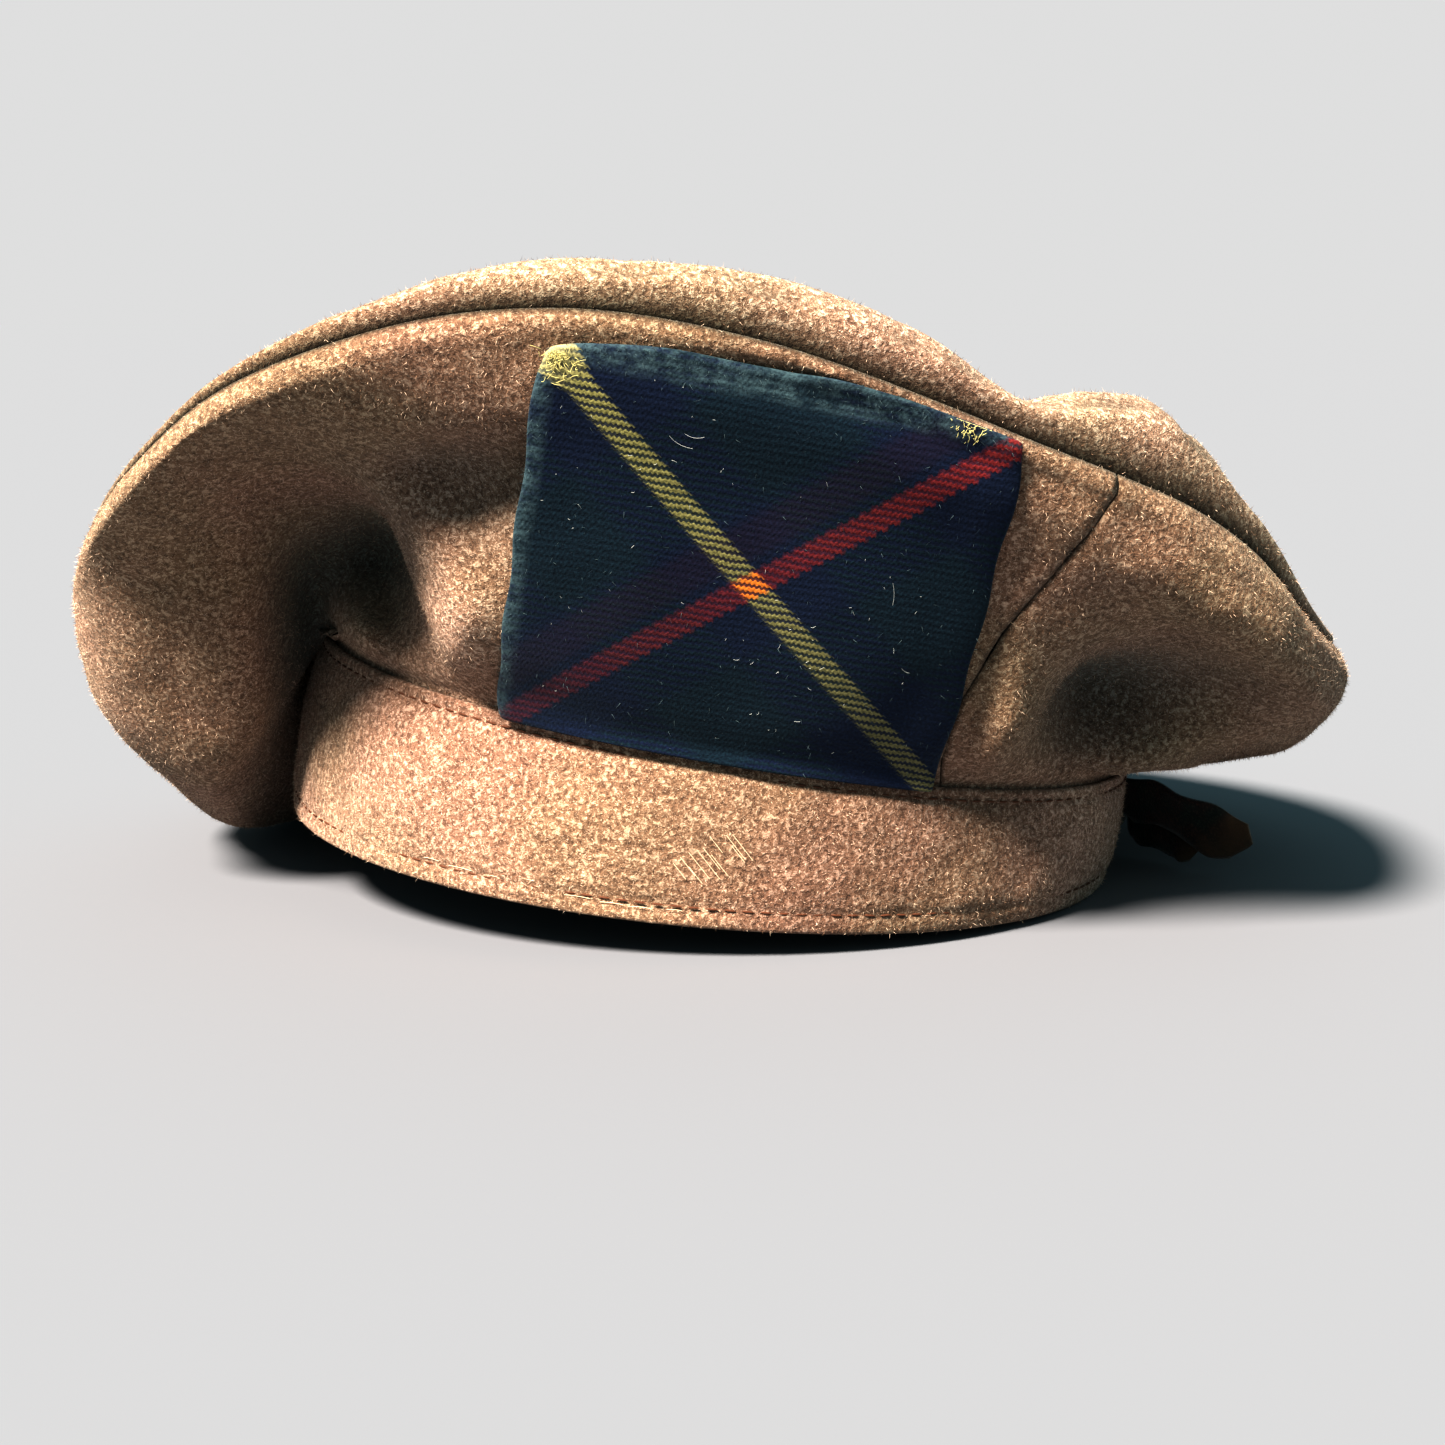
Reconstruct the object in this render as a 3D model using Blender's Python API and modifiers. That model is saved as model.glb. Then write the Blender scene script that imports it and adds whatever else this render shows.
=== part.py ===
"""A soft wool tam o'shanter lying on its head band, drooping to the wearer's right.

Frame: +X is the wearer's back, -Y the wearer's left (the side with the tartan patch), +Z up.
The tables below are in millimetres and degrees, measured from the middle of the head band's
lower edge. An angle of 0 is the back of the bonnet, 90 the wearer's right, 180 the front and
270 the wearer's left.
"""

import bmesh
import bpy
import numpy as np

MM = 0.001
# The middle of the whole bonnet's base, which becomes the frame's origin.
BASE_MIDDLE = (4.0, 3.3, 0.05)

# Head band: a folded strip whose lower edge is a flat oval, standing a little higher in front.
BAND_HALF_LENGTH = 93.0
BAND_HALF_WIDTH = 86.4
BAND_FRONT_LIFT = 17.7
BAND_LOW_ANGLE = -17.0
BAND_LEAN_BACK = 6.6
BAND_TAPER = 1.5
BAND_SWELL = 1.6
BAND_HEIGHT_BACK = 25.5
BAND_HEIGHT_FRONT = 39.5
BAND_LAYER = 1.5
BAND_FOLDED = 3.4
SLOT_WIDTH = 2.7
SLOT_DEPTH = 9.0

# Crown: a round top and two side panels of one wool, sewn together along the rim.
WOOL = 2.0
GAP = 0.3
TUCK_DEPTH = 8.0
TURN_IN = 3.0
TURN_IN_SLOPE = 30.0
PANEL_SEAM_NEAR = 298.5
PANEL_SEAM_FAR = 119.5
PANEL_SEAM_DIP = 0.9

# Side panels, one row per angle: how far the cloth rolls out and up over the band's top edge,
# three points of the side, the outermost line of the rim, the rim seam, and then of the top
# its height half way in and the height of the puff beside the rim seam.
CROWN_COLUMNS = (
    "angle", "over", "up", "low_r", "low_z", "mid_r", "mid_z", "high_r", "high_z",
    "rim_r", "rim_z", "seam_r", "seam_z", "top_z", "puff",
)
CROWN_ROWS = (
    (0, 3.0, 3.5, 108, 24.0, 118, 22.0, 134, 26.0, 145.0, 41.0, 142.0, 49.0, 62, 4),
    (30, 3.5, 3.5, 107, 19.0, 118, 11.0, 133, 14.5, 143.0, 27.0, 140.0, 35.0, 54, 4),
    (60, 3.5, 3.5, 101, 17.0, 112, 5.0, 128, 4.0, 138.5, 13.0, 136.0, 21.0, 52, 4),
    (90, 3.5, 3.5, 97, 22.0, 109, 5.0, 125, 0.8, 137.0, 8.0, 134.5, 16.0, 56, 4),
    (120, 3.5, 3.5, 95, 26.0, 108, 5.5, 125, 0.7, 138.0, 10.0, 135.5, 18.5, 62, 4),
    (150, 3.5, 3.5, 95, 27.0, 108, 2.6, 126, 5.0, 138.5, 24.0, 136.0, 33.0, 67, 4),
    (165, 3.5, 3.5, 95, 28.0, 109, 5.2, 129, 16.0, 138.0, 45.0, 135.5, 54.0, 71, 4),
    (180, 3.5, 3.5, 95, 33.0, 109, 16.0, 130, 34.0, 137.5, 59.0, 134.5, 68.0, 76, 3),
    (195, 3.0, 4.0, 94, 46.0, 110, 31.0, 130, 48.0, 138.5, 67.0, 136.0, 75.0, 82, 3),
    (205, 2.0, 4.5, 89, 59.0, 101, 54.0, 124, 65.0, 141.0, 78.0, 138.5, 85.0, 87, 3),
    (215, 1.5, 5.0, 86, 66.0, 91, 77.0, 116, 85.0, 142.0, 91.0, 139.5, 98.0, 94, 3),
    (225, 1.5, 5.0, 87, 66.0, 94, 81.0, 117, 97.0, 140.5, 105.5, 138.0, 111.5, 101, 4),
    (235, 2.5, 5.0, 95, 64.0, 107, 83.0, 122, 102.0, 137.5, 115.0, 135.8, 120.2, 104, 6),
    (245, 2.5, 5.0, 96, 63.0, 109, 83.0, 122, 104.5, 134.2, 121.5, 132.5, 126.0, 106, 9),
    (255, 2.5, 5.0, 95, 60.0, 107, 80.0, 119.5, 103.0, 131.0, 123.3, 129.5, 127.6, 107, 10.5),
    (270, 2.5, 5.0, 94, 55.0, 105, 74.0, 117, 97.0, 130.0, 118.0, 128.5, 122.3, 106, 13),
    (285, 2.5, 5.0, 96, 48.0, 108, 66.0, 119, 87.0, 131.5, 106.3, 130.0, 110.8, 100, 12),
    (292, 2.7, 5.0, 97, 45.7, 109, 62.0, 121, 82.5, 133.2, 100.0, 131.5, 104.6, 96, 8),
    (300, 3.0, 5.0, 98, 43.0, 110, 57.0, 124, 76.0, 136.4, 93.0, 134.5, 97.8, 92, 16),
    (307, 3.2, 4.8, 99, 40.0, 110, 51.0, 125, 69.0, 139.5, 84.5, 137.0, 91.5, 88, 19),
    (315, 3.5, 4.5, 102, 36.0, 111, 43.0, 126, 58.0, 141.5, 75.0, 139.0, 82.0, 83, 12),
    (325, 3.5, 4.0, 104, 31.0, 114, 33.0, 128, 43.0, 143.0, 60.5, 140.0, 67.5, 76, 5),
    (345, 3.0, 3.5, 105, 28.0, 115, 26.0, 134, 32.0, 143.5, 46.5, 141.0, 54.5, 66, 4),
)
TOP_CENTRE = 80.0
TOP_RISE_TO_LEFT = 26.0
TOP_RISE_TO_FRONT = 6.0
TOP_HALF_WAY = 0.65
PUFF_WIDTH = 46.0

# Folds of the side panels, standing out (+) or sunk in (-) by their height at the middle.
# "place" runs from 0 at the band to 1 at the rim seam; "lean" is how far a fold's line turns
# round the crown, in degrees, from the band to the rim.
SIDE_FOLD_COLUMNS = ("angle", "place", "lean", "half_angle", "half_place", "height")
SIDE_FOLD_ROWS = (
    (221, 0.52, 6, 7, 0.22, -4.0),
    (234, 0.45, 8, 4.5, 0.22, 2.5),
    (212, 0.30, 0, 3.5, 0.10, 3.5),
    (303, 0.35, 6, 3.5, 0.22, 2.2),
    (312, 0.42, 8, 6, 0.25, -4.0),
    (330, 0.70, 0, 8, 0.20, 2.0),
    (190, 0.70, 0, 10, 0.20, 2.0),
)
# Dents and rises of the top: centre (x, y), half lengths along and across, turn and height.
TOP_FOLD_COLUMNS = ("x", "y", "half_long", "half_wide", "turn", "height")
TOP_FOLD_ROWS = (
    (-20, -60, 60, 26, 10, -5.0),
    (60, -30, 45, 20, -35, 3.5),
    (50, 10, 50, 18, -25, -4.0),
    (-70, 20, 40, 22, 60, -3.0),
    (10, 105, 60, 12, 0, 3.0),
)

# Patch: corners on the near side of the crown before it is laid on the cloth.
PATCH_THICKNESS = 1.3
PATCH_GAP = 0.6
PATCH_CORNERS = (
    (-37.2, -126.0, 121.8),
    (48.4, -125.0, 105.6),
    (39.8, -75.5, 34.8),
    (-46.1, -73.0, 49.2),
)
PATCH_ANGLE_LEFT = 250
PATCH_ANGLE_RIGHT = 295
PATCH_TRIES = 30
PATCH_LOWEST_PLACE = 0.05
PATCH_HIGHEST_PLACE = 0.95
PATCH_SQUARES = 9

# Tie of narrow tape at the back of the band.
TAPE_THICKNESS = 0.9
TAIL_COLUMNS = ("x", "y", "z", "half_width", "turn")
TAIL_UPPER_ROWS = (
    (99.8, 3.0, 13.8, 4.6, 82),
    (101.6, -4.0, 14.6, 5.4, 80),
    (104.6, -11.0, 14.4, 5.8, 76),
    (109.5, -17.0, 12.6, 5.8, 74),
    (115.5, -21.0, 9.8, 5.8, 74),
    (122.5, -24.5, 7.4, 5.4, 72),
)
TAIL_LOWER_ROWS = (
    (101.9, 3.0, 7.0, 3.8, 86),
    (105.2, -3.0, 6.8, 4.6, 86),
    (107.9, -8.0, 6.3, 4.8, 84),
    (110.2, -12.0, 5.9, 4.8, 84),
    (112.6, -15.5, 5.6, 4.5, 84),
)
KNOT_CENTRE = (99.9, 7.6, 11.2)
KNOT_HALF = (3.7, 4.6, 5.8)
KNOT_PINCH = 0.14

COLUMNS = 84
BAND_COLUMNS = 72
PANEL_EDGE_STEP = 1.3
SIDE_PLACES = (0.0, 0.055, 0.12, 0.21, 0.31, 0.42, 0.54, 0.66, 0.78, 0.885, 0.955, 1.0)
TOP_INSETS = (0.0, 0.7, 2.4, 6.0, 12.0, 21.0)
TOP_SHARES = (0.74, 0.60, 0.45, 0.30, 0.15)


def column(rows, columns, name):
    return np.array(rows, float)[:, columns.index(name)]


def round_value(angle, name):
    """A column of the crown's table at any angle in degrees, as a smooth closed curve."""
    angles = column(CROWN_ROWS, CROWN_COLUMNS, "angle")
    values = column(CROWN_ROWS, CROWN_COLUMNS, name)
    angles = np.concatenate([angles[-2:] - 360, angles, angles[:3] + 360])
    values = np.concatenate([values[-2:], values, values[:3]])
    width = np.diff(angles)
    rate = np.diff(values) / width
    slope = np.zeros(len(angles))
    slope[1:-1] = (rate[:-1] * width[1:] + rate[1:] * width[:-1]) / (width[1:] + width[:-1])
    at = np.mod(angle, 360.0)
    i = np.clip(np.searchsorted(angles, at, side="right") - 1, 1, len(angles) - 3)
    return hermite(
        (at - angles[i]) / width[i],
        values[i], values[i + 1], width[i] * slope[i], width[i] * slope[i + 1],
    )


def hermite(s, start, end, start_rate, end_rate):
    return (
        (2 * s**3 - 3 * s**2 + 1) * start + (s**3 - 2 * s**2 + s) * start_rate
        + (3 * s**2 - 2 * s**3) * end + (s**3 - s**2) * end_rate
    )


def curve_through(points, place):
    """The smooth curve through points (..., k, 3), at a place of 0 to 1 along its chords."""
    count = points.shape[-2]
    lengths = np.linalg.norm(np.diff(points, axis=-2), axis=-1)
    marks = np.concatenate([np.zeros(lengths.shape[:-1] + (1,)), np.cumsum(lengths, -1)], -1)
    marks = marks / marks[..., -1:]
    rates = np.empty_like(points)
    rates[..., 1:-1, :] = (points[..., 2:, :] - points[..., :-2, :]) / (
        marks[..., 2:] - marks[..., :-2]
    )[..., None]
    ends = np.diff(points, axis=-2) / np.diff(marks, axis=-1)[..., None]
    rates[..., 0, :] = 1.5 * ends[..., 0, :] - 0.5 * rates[..., 1, :]
    rates[..., -1, :] = 1.5 * ends[..., -1, :] - 0.5 * rates[..., -2, :]
    place = np.broadcast_to(place, points.shape[:-2])
    i = np.clip((marks[..., 1:-1] <= place[..., None]).sum(-1), 0, count - 2)

    def mark(k):
        return np.take_along_axis(marks, (i + k)[..., None], -1)[..., 0]

    def row(table, k):
        return np.take_along_axis(table, (i + k)[..., None, None], -2)[..., 0, :]

    width = (mark(1) - mark(0))[..., None]
    s = ((place - mark(0)) / width[..., 0])[..., None]
    return hermite(s, row(points, 0), row(points, 1), width * row(rates, 0), width * row(rates, 1))


def band_point(turn, rise, inward, from_top=False):
    """A point of the band: rise up the cloth from its lower edge, or from its top edge, and
    inward from its outer face. turn is the oval's own angle."""
    turn = np.asarray(turn, float)
    across = np.stack([np.cos(turn) / BAND_HALF_LENGTH, np.sin(turn) / BAND_HALF_WIDTH], -1)
    across = across / np.linalg.norm(across, axis=-1, keepdims=True)
    x = BAND_HALF_LENGTH * np.cos(turn) - inward * across[..., 0]
    y = BAND_HALF_WIDTH * np.sin(turn) - inward * across[..., 1]
    low = np.radians(BAND_LOW_ANGLE)
    z = BAND_FRONT_LIFT / 2 * (
        1 - x / BAND_HALF_LENGTH * np.cos(low) - y / BAND_HALF_WIDTH * np.sin(low)
    )
    height = BAND_HEIGHT_BACK + (BAND_HEIGHT_FRONT - BAND_HEIGHT_BACK) * (1 - np.cos(turn)) / 2
    length = np.hypot(height, BAND_LEAN_BACK)
    share = (length + rise if from_top else rise) / length
    drawn_in = BAND_TAPER * share - BAND_SWELL * 4 * share * (1 - share)
    x = x + BAND_LEAN_BACK * share - drawn_in * across[..., 0]
    y = y - drawn_in * across[..., 1]
    return np.stack([x, y, z + height * share], -1)


def crown_angle(turn):
    top = band_point(turn, 0.0, 0.0, from_top=True)
    return np.degrees(np.arctan2(top[..., 1], top[..., 0]))


def polar(angle, radius, z):
    a = np.radians(angle)
    return np.stack(np.broadcast_arrays(radius * np.cos(a), radius * np.sin(a), z), -1)


def seam_frame(turn):
    """The rim seam's point, the way the sewn edges turn in, and the way across the seam."""
    angle = crown_angle(turn)
    slope = np.radians(TURN_IN_SLOPE)
    seam = polar(angle, round_value(angle, "seam_r"), round_value(angle, "seam_z"))
    inward = polar(angle, -np.cos(slope), -np.sin(slope))
    across = polar(angle, -np.sin(slope), np.cos(slope))
    return seam, inward, across


def side_plain(turn, place):
    turn, place = np.broadcast_arrays(np.asarray(turn, float), np.asarray(place, float))
    angle = crown_angle(turn)
    edge = band_point(turn, 0.0, 0.0, from_top=True)
    edge_r = np.hypot(edge[..., 0], edge[..., 1])
    seam, inward, across = seam_frame(turn)
    outward = polar(angle, 1.0, 0.0)
    up = np.array((0.0, 0.0, 1.0))
    tucked = band_point(turn, 0.5, BAND_LAYER + GAP, from_top=True)
    points = [
        tucked,
        polar(angle, edge_r + round_value(angle, "over"), edge[..., 2] + round_value(angle, "up")),
    ]
    for name in ("low", "mid", "high", "rim"):
        points.append(
            polar(angle, round_value(angle, name + "_r"), round_value(angle, name + "_z"))
        )
    points.append(seam + 1.6 * outward - 2.0 * up)
    points.append(seam - GAP / 2 * across)
    return curve_through(np.stack(points, -2), place)


def side_fold(angle, place):
    height = np.zeros(np.broadcast(angle, place).shape)
    for at, middle, lean, half_angle, half_place, tall in SIDE_FOLD_ROWS:
        off = np.mod(angle - at - lean * (place - middle) + 180, 360) - 180
        height = height + tall * np.exp(
            -((off / half_angle) ** 2) - ((place - middle) / half_place) ** 2
        )
    fade = np.clip(place / 0.12, 0, 1) * np.clip((1 - place) / 0.15, 0, 1)
    for at in (PANEL_SEAM_NEAR, PANEL_SEAM_FAR):
        off = np.abs(np.mod(angle - at + 180, 360) - 180)
        height = height - PANEL_SEAM_DIP * np.clip(1 - off / 1.6, 0, 1) ** 2
    return height * fade


def side_point(turn, place):
    """The outer face of the side panels, 0 at the band's top edge to 1 at the rim seam."""
    turn, place = np.broadcast_arrays(np.asarray(turn, float), np.asarray(place, float))
    here = side_plain(turn, place)
    step = 0.004
    low = np.clip(place - step, 0, 1)
    along = side_plain(turn, np.clip(place + step, 0, 1)) - side_plain(turn, low)
    round_ = side_plain(turn + step, place) - side_plain(turn - step, place)
    out = np.cross(round_, along)
    out = out / np.linalg.norm(out, axis=-1, keepdims=True)
    return here + out * side_fold(crown_angle(turn), place)[..., None]


def top_height(x, y, share, angle):
    rim = round_value(angle, "seam_z")
    half = round_value(angle, "top_z")
    a = np.radians(angle)
    plane = -TOP_RISE_TO_LEFT * np.sin(a) - TOP_RISE_TO_FRONT * np.cos(a)
    h = TOP_HALF_WAY
    at_rim = rim - TOP_CENTRE - plane
    at_half = half - TOP_CENTRE - plane * h
    fifth = (at_half - at_rim * h**3) / (h**5 - h**3)
    third = at_rim - fifth
    z = TOP_CENTRE + plane * share + third * share**3 + fifth * share**5
    for fx, fy, half_long, half_wide, turned, tall in TOP_FOLD_ROWS:
        c, s = np.cos(np.radians(turned)), np.sin(np.radians(turned))
        u, v = (x - fx) * c + (y - fy) * s, (y - fy) * c - (x - fx) * s
        z = z + tall * np.exp(-((u / half_long) ** 2) - (v / half_wide) ** 2) * (1 - share**6)
    return z


def top_point(turn, inset):
    """The outer face of the top, inset from the rim seam towards the middle."""
    angle = crown_angle(turn)
    seam, inward, across = seam_frame(turn)
    seam_r = round_value(angle, "seam_r")
    share = np.clip(1 - inset / seam_r, 0, 1)
    near = np.clip(inset / PUFF_WIDTH, 0, 1)
    puff = round_value(angle, "puff") * 3.49 * np.sqrt(near) * (1 - near) ** 2
    swell = 1.2 * np.clip(inset / 1.2, 0, 1) * np.clip(1 - inset / 9.0, 0, 1)
    flat = polar(angle, seam_r * share + swell, 0.0)
    flat[..., 2] = top_height(flat[..., 0], flat[..., 1], share, angle) + puff
    edge = GAP / 2 * across * np.clip(1 - inset / 2.0, 0, 1)[..., None]
    return flat + edge


def patch_point(across, down):
    """The patch's under face: its plane square laid on the side panel below it."""
    across, down = np.broadcast_arrays(np.asarray(across, float), np.asarray(down, float))
    tl, tr, br, bl = np.array(PATCH_CORNERS)
    a, d = across[..., None], down[..., None]
    goal = (tl * (1 - a) + tr * a) * (1 - d) + (bl * (1 - a) + br * a) * d
    right = (tr - tl) / np.linalg.norm(tr - tl)
    out = np.cross(right, tl - bl)
    out = -out / np.linalg.norm(out)
    if out[1] > 0:
        out = -out
    low = np.cross(out, right)
    turn = np.radians(PATCH_ANGLE_LEFT + (PATCH_ANGLE_RIGHT - PATCH_ANGLE_LEFT) * across)
    place = PATCH_HIGHEST_PLACE - (PATCH_HIGHEST_PLACE - PATCH_LOWEST_PLACE) * down
    step = 1e-4
    for _ in range(PATCH_TRIES):
        here = side_point(turn, place)
        by_turn = (side_point(turn + step, place) - here) / step
        by_place = (side_point(turn, place + step) - here) / step
        miss = goal - here
        m00, m01 = by_turn @ right, by_place @ right
        m10, m11 = by_turn @ low, by_place @ low
        b0, b1 = miss @ right, miss @ low
        det = m00 * m11 - m01 * m10
        turn = turn + np.clip((b0 * m11 - m01 * b1) / det, -0.1, 0.1)
        place = place + np.clip((m00 * b1 - m10 * b0) / det, -0.1, 0.1)
        place = np.clip(place, PATCH_LOWEST_PLACE, PATCH_HIGHEST_PLACE)
    here = side_point(turn, place)
    by_turn = side_point(turn + step, place) - here
    by_place = side_point(turn, place + step) - here
    normal = np.cross(by_turn, by_place)
    normal = normal / np.linalg.norm(normal, axis=-1, keepdims=True)
    return here + normal * PATCH_GAP, normal


# building ----------------------------------------------------------------------------------


def framed(points):
    """Table millimetres as the frame's metres."""
    return (np.asarray(points) - np.array(BASE_MIDDLE)) * MM


def linked(name, mesh, material):
    mesh.materials.append(material)
    made = bpy.data.objects.new(name, mesh)
    bonnet.objects.link(made)
    return made


def cloth(name, points, faces, thickness, material):
    """A surface with its cloth on the inner side, away from the way its faces look."""
    mesh = bpy.data.meshes.new(name)
    mesh.from_pydata(framed(points), [], faces)
    mesh.shade_smooth()
    made = linked(name, mesh, material)
    solidify = made.modifiers.new("Cloth", "SOLIDIFY")
    solidify.thickness = thickness * MM
    solidify.offset = -1.0
    return made


def grid_faces(rows, columns, closed):
    """Faces over a grid of points, row by row; closed joins the last column to the first."""
    faces = []
    for row in range(rows - 1):
        for k in range(columns if closed else columns - 1):
            after = (k + 1) % columns
            faces.append((row * columns + k, row * columns + after,
                          (row + 1) * columns + after, (row + 1) * columns + k))
    return faces


def wool_material(name, colour, roughness):
    material = bpy.data.materials.new(name)
    material.use_nodes = True
    shader = material.node_tree.nodes["Principled BSDF"]
    shader.inputs["Base Color"].default_value = (*colour, 1.0)
    shader.inputs["Roughness"].default_value = roughness
    return material


def side_panel(name, start, end, material):
    """One side panel between two angles: tucked into the band, up the side, turned in at the rim."""
    turns = np.linspace(0, 2 * np.pi, 1441)
    angles = np.unwrap(np.radians(crown_angle(turns)))
    half_gap = np.degrees(GAP / BAND_HALF_WIDTH)
    angle = np.linspace(start + half_gap, end - half_gap, COLUMNS // 2 + 1)
    angle = np.concatenate([
        [angle[0], angle[0] + PANEL_EDGE_STEP], angle[1:-1],
        [angle[-1] - PANEL_EDGE_STEP, angle[-1]],
    ])
    goal = np.radians(angle)
    whole = np.concatenate([angles - 2 * np.pi, angles[1:], angles[1:] + 2 * np.pi])
    full = np.concatenate([turns - 2 * np.pi, turns[1:], turns[1:] + 2 * np.pi])
    turn = np.interp(goal, whole, full)
    rows = [band_point(turn, -TUCK_DEPTH, BAND_LAYER + GAP, from_top=True)]
    rows += [side_point(turn, place) for place in SIDE_PLACES]
    seam, inward, across = seam_frame(turn)
    rows.append(seam - GAP / 2 * across + TURN_IN * inward)
    faces = grid_faces(len(rows), len(turn), False)
    return cloth(name, np.concatenate(rows), faces, WOOL, material)


def crown_top(name, material):
    turn = np.linspace(0, 2 * np.pi, COLUMNS, endpoint=False)
    seam, inward, across = seam_frame(turn)
    seam_r = round_value(crown_angle(turn), "seam_r")
    rows = [seam + GAP / 2 * across + TURN_IN * inward]
    rows += [top_point(turn, inset) for inset in TOP_INSETS]
    rows += [top_point(turn, seam_r * (1 - share)) for share in TOP_SHARES]
    middle = top_point(0.0, round_value(0.0, "seam_r"))
    points = np.concatenate(rows + [middle[None]])
    faces = grid_faces(len(rows), COLUMNS, True)
    last = (len(rows) - 1) * COLUMNS
    faces += [(last + k, last + (k + 1) % COLUMNS, len(points) - 1) for k in range(COLUMNS)]
    return cloth(name, points, faces, WOOL, material)


def head_band(name, material):
    """The folded strip, swept round the head opening, with a slot along its top for the crown."""
    turn = np.linspace(0, 2 * np.pi, BAND_COLUMNS, endpoint=False)
    deep = BAND_LAYER + SLOT_WIDTH
    inner = deep + BAND_LAYER
    low, top = False, True
    profile = (
        (low, 0.0, 0.5), (low, 0.7, 0.0), (top, -SLOT_DEPTH, 0.0), (top, -0.6, 0.0),
        (top, 0.0, 0.5), (top, 0.0, BAND_LAYER), (top, -SLOT_DEPTH, BAND_LAYER),
        (top, -SLOT_DEPTH, deep), (top, -1.5, deep), (top, -1.5, inner),
        (top, -SLOT_DEPTH - 1.0, inner), (top, -SLOT_DEPTH - 5.0, BAND_FOLDED),
        (low, 0.7, BAND_FOLDED), (low, 0.0, BAND_FOLDED - 0.5),
    )
    points = np.concatenate([band_point(turn, rise, inward, end) for end, rise, inward in profile])
    points = np.concatenate([points, points[:BAND_COLUMNS]])
    mesh = bpy.data.meshes.new(name)
    mesh.from_pydata(framed(points), [], grid_faces(len(profile) + 1, BAND_COLUMNS, True))
    strip = bmesh.new()
    strip.from_mesh(mesh)
    bmesh.ops.remove_doubles(strip, verts=strip.verts, dist=0.01 * MM)
    strip.to_mesh(mesh)
    strip.free()
    mesh.shade_smooth()
    return linked(name, mesh, material)


def patch(name, material):
    steps = np.linspace(0, 1, PATCH_SQUARES + 1)
    under, normal = patch_point(steps[None, :], steps[::-1, None])
    points = (under + normal * PATCH_THICKNESS).reshape(-1, 3)
    faces = grid_faces(len(steps), len(steps), False)
    return cloth(name, points, faces, PATCH_THICKNESS, material)


def tail(name, rows, material):
    """A strip of tape along a few stations; turn is the angle of its width from level."""
    table = np.array(rows, float)
    fine = np.linspace(0, len(table) - 1, 3 * (len(table) - 1) + 1)
    values = np.stack([np.interp(fine, np.arange(len(table)), c) for c in table.T], -1)
    centre, half, turned = values[:, :3], values[:, 3:4], np.radians(values[:, 4:5])
    along = np.gradient(centre, axis=0)
    along /= np.linalg.norm(along, axis=1, keepdims=True)
    level = np.cross(along, (0.0, 0.0, 1.0))
    level /= np.linalg.norm(level, axis=1, keepdims=True)
    width = half * (np.cross(level, along) * np.sin(turned) + level * np.cos(turned))
    points = np.concatenate([centre - width, centre + width])
    return cloth(name, points, grid_faces(2, len(centre), False), TAPE_THICKNESS, material)


def knot(name, material):
    """The small knot of the tape: a ball with the tape's turn pressed round it."""
    ball = bmesh.new()
    bmesh.ops.create_uvsphere(ball, u_segments=14, v_segments=8, radius=1.0)
    for vert in ball.verts:
        turn = np.arctan2(vert.co.y, vert.co.x)
        pinch = 1 - KNOT_PINCH * np.cos(2 * np.arccos(np.clip(vert.co.z, -1, 1)) + turn) ** 2
        vert.co = framed(np.array(KNOT_CENTRE) + np.array(KNOT_HALF) * pinch * np.array(vert.co))
    mesh = bpy.data.meshes.new(name)
    ball.to_mesh(mesh)
    ball.free()
    mesh.shade_smooth()
    return linked(name, mesh, material)


for old in list(bpy.data.objects):
    bpy.data.objects.remove(old)
bonnet = bpy.data.collections.new("tam_o_shanter")
bpy.context.scene.collection.children.link(bonnet)

khaki = wool_material("khaki_wool", (0.30, 0.17, 0.085), 0.95)
band_wool = wool_material("khaki_band_wool", (0.33, 0.19, 0.10), 0.95)
tartan = wool_material("tartan_wool", (0.010, 0.022, 0.035), 0.95)
tape = wool_material("dark_tape", (0.012, 0.012, 0.010), 0.9)

crown_top("crown_top", khaki)
side_panel("crown_side_front", PANEL_SEAM_FAR, PANEL_SEAM_NEAR, khaki)
side_panel("crown_side_back", PANEL_SEAM_NEAR, PANEL_SEAM_FAR + 360, khaki)
head_band("headband", band_wool)
patch("tartan_patch", tartan)
knot("tie_knot", tape)
tail("tie_tail_upper", TAIL_UPPER_ROWS, tape)
tail("tie_tail_lower", TAIL_LOWER_ROWS, tape)
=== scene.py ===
"""The looks of a khaki wool tam o'shanter: its cloth, seams, stitches, tartan patch, tape
tie and nap.

Frame: +X is the wearer's back, -Y the wearer's left (the side with the tartan patch), +Z up.
The tables are in millimetres and degrees, measured from the middle of the head band's lower
edge. An angle of 0 is the back of the bonnet, 90 the wearer's right, 180 the front and 270
the wearer's left. The shape's tables and functions are those of the part's own source.
"""

import bmesh
import bpy
import numpy as np
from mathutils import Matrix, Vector, noise


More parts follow.
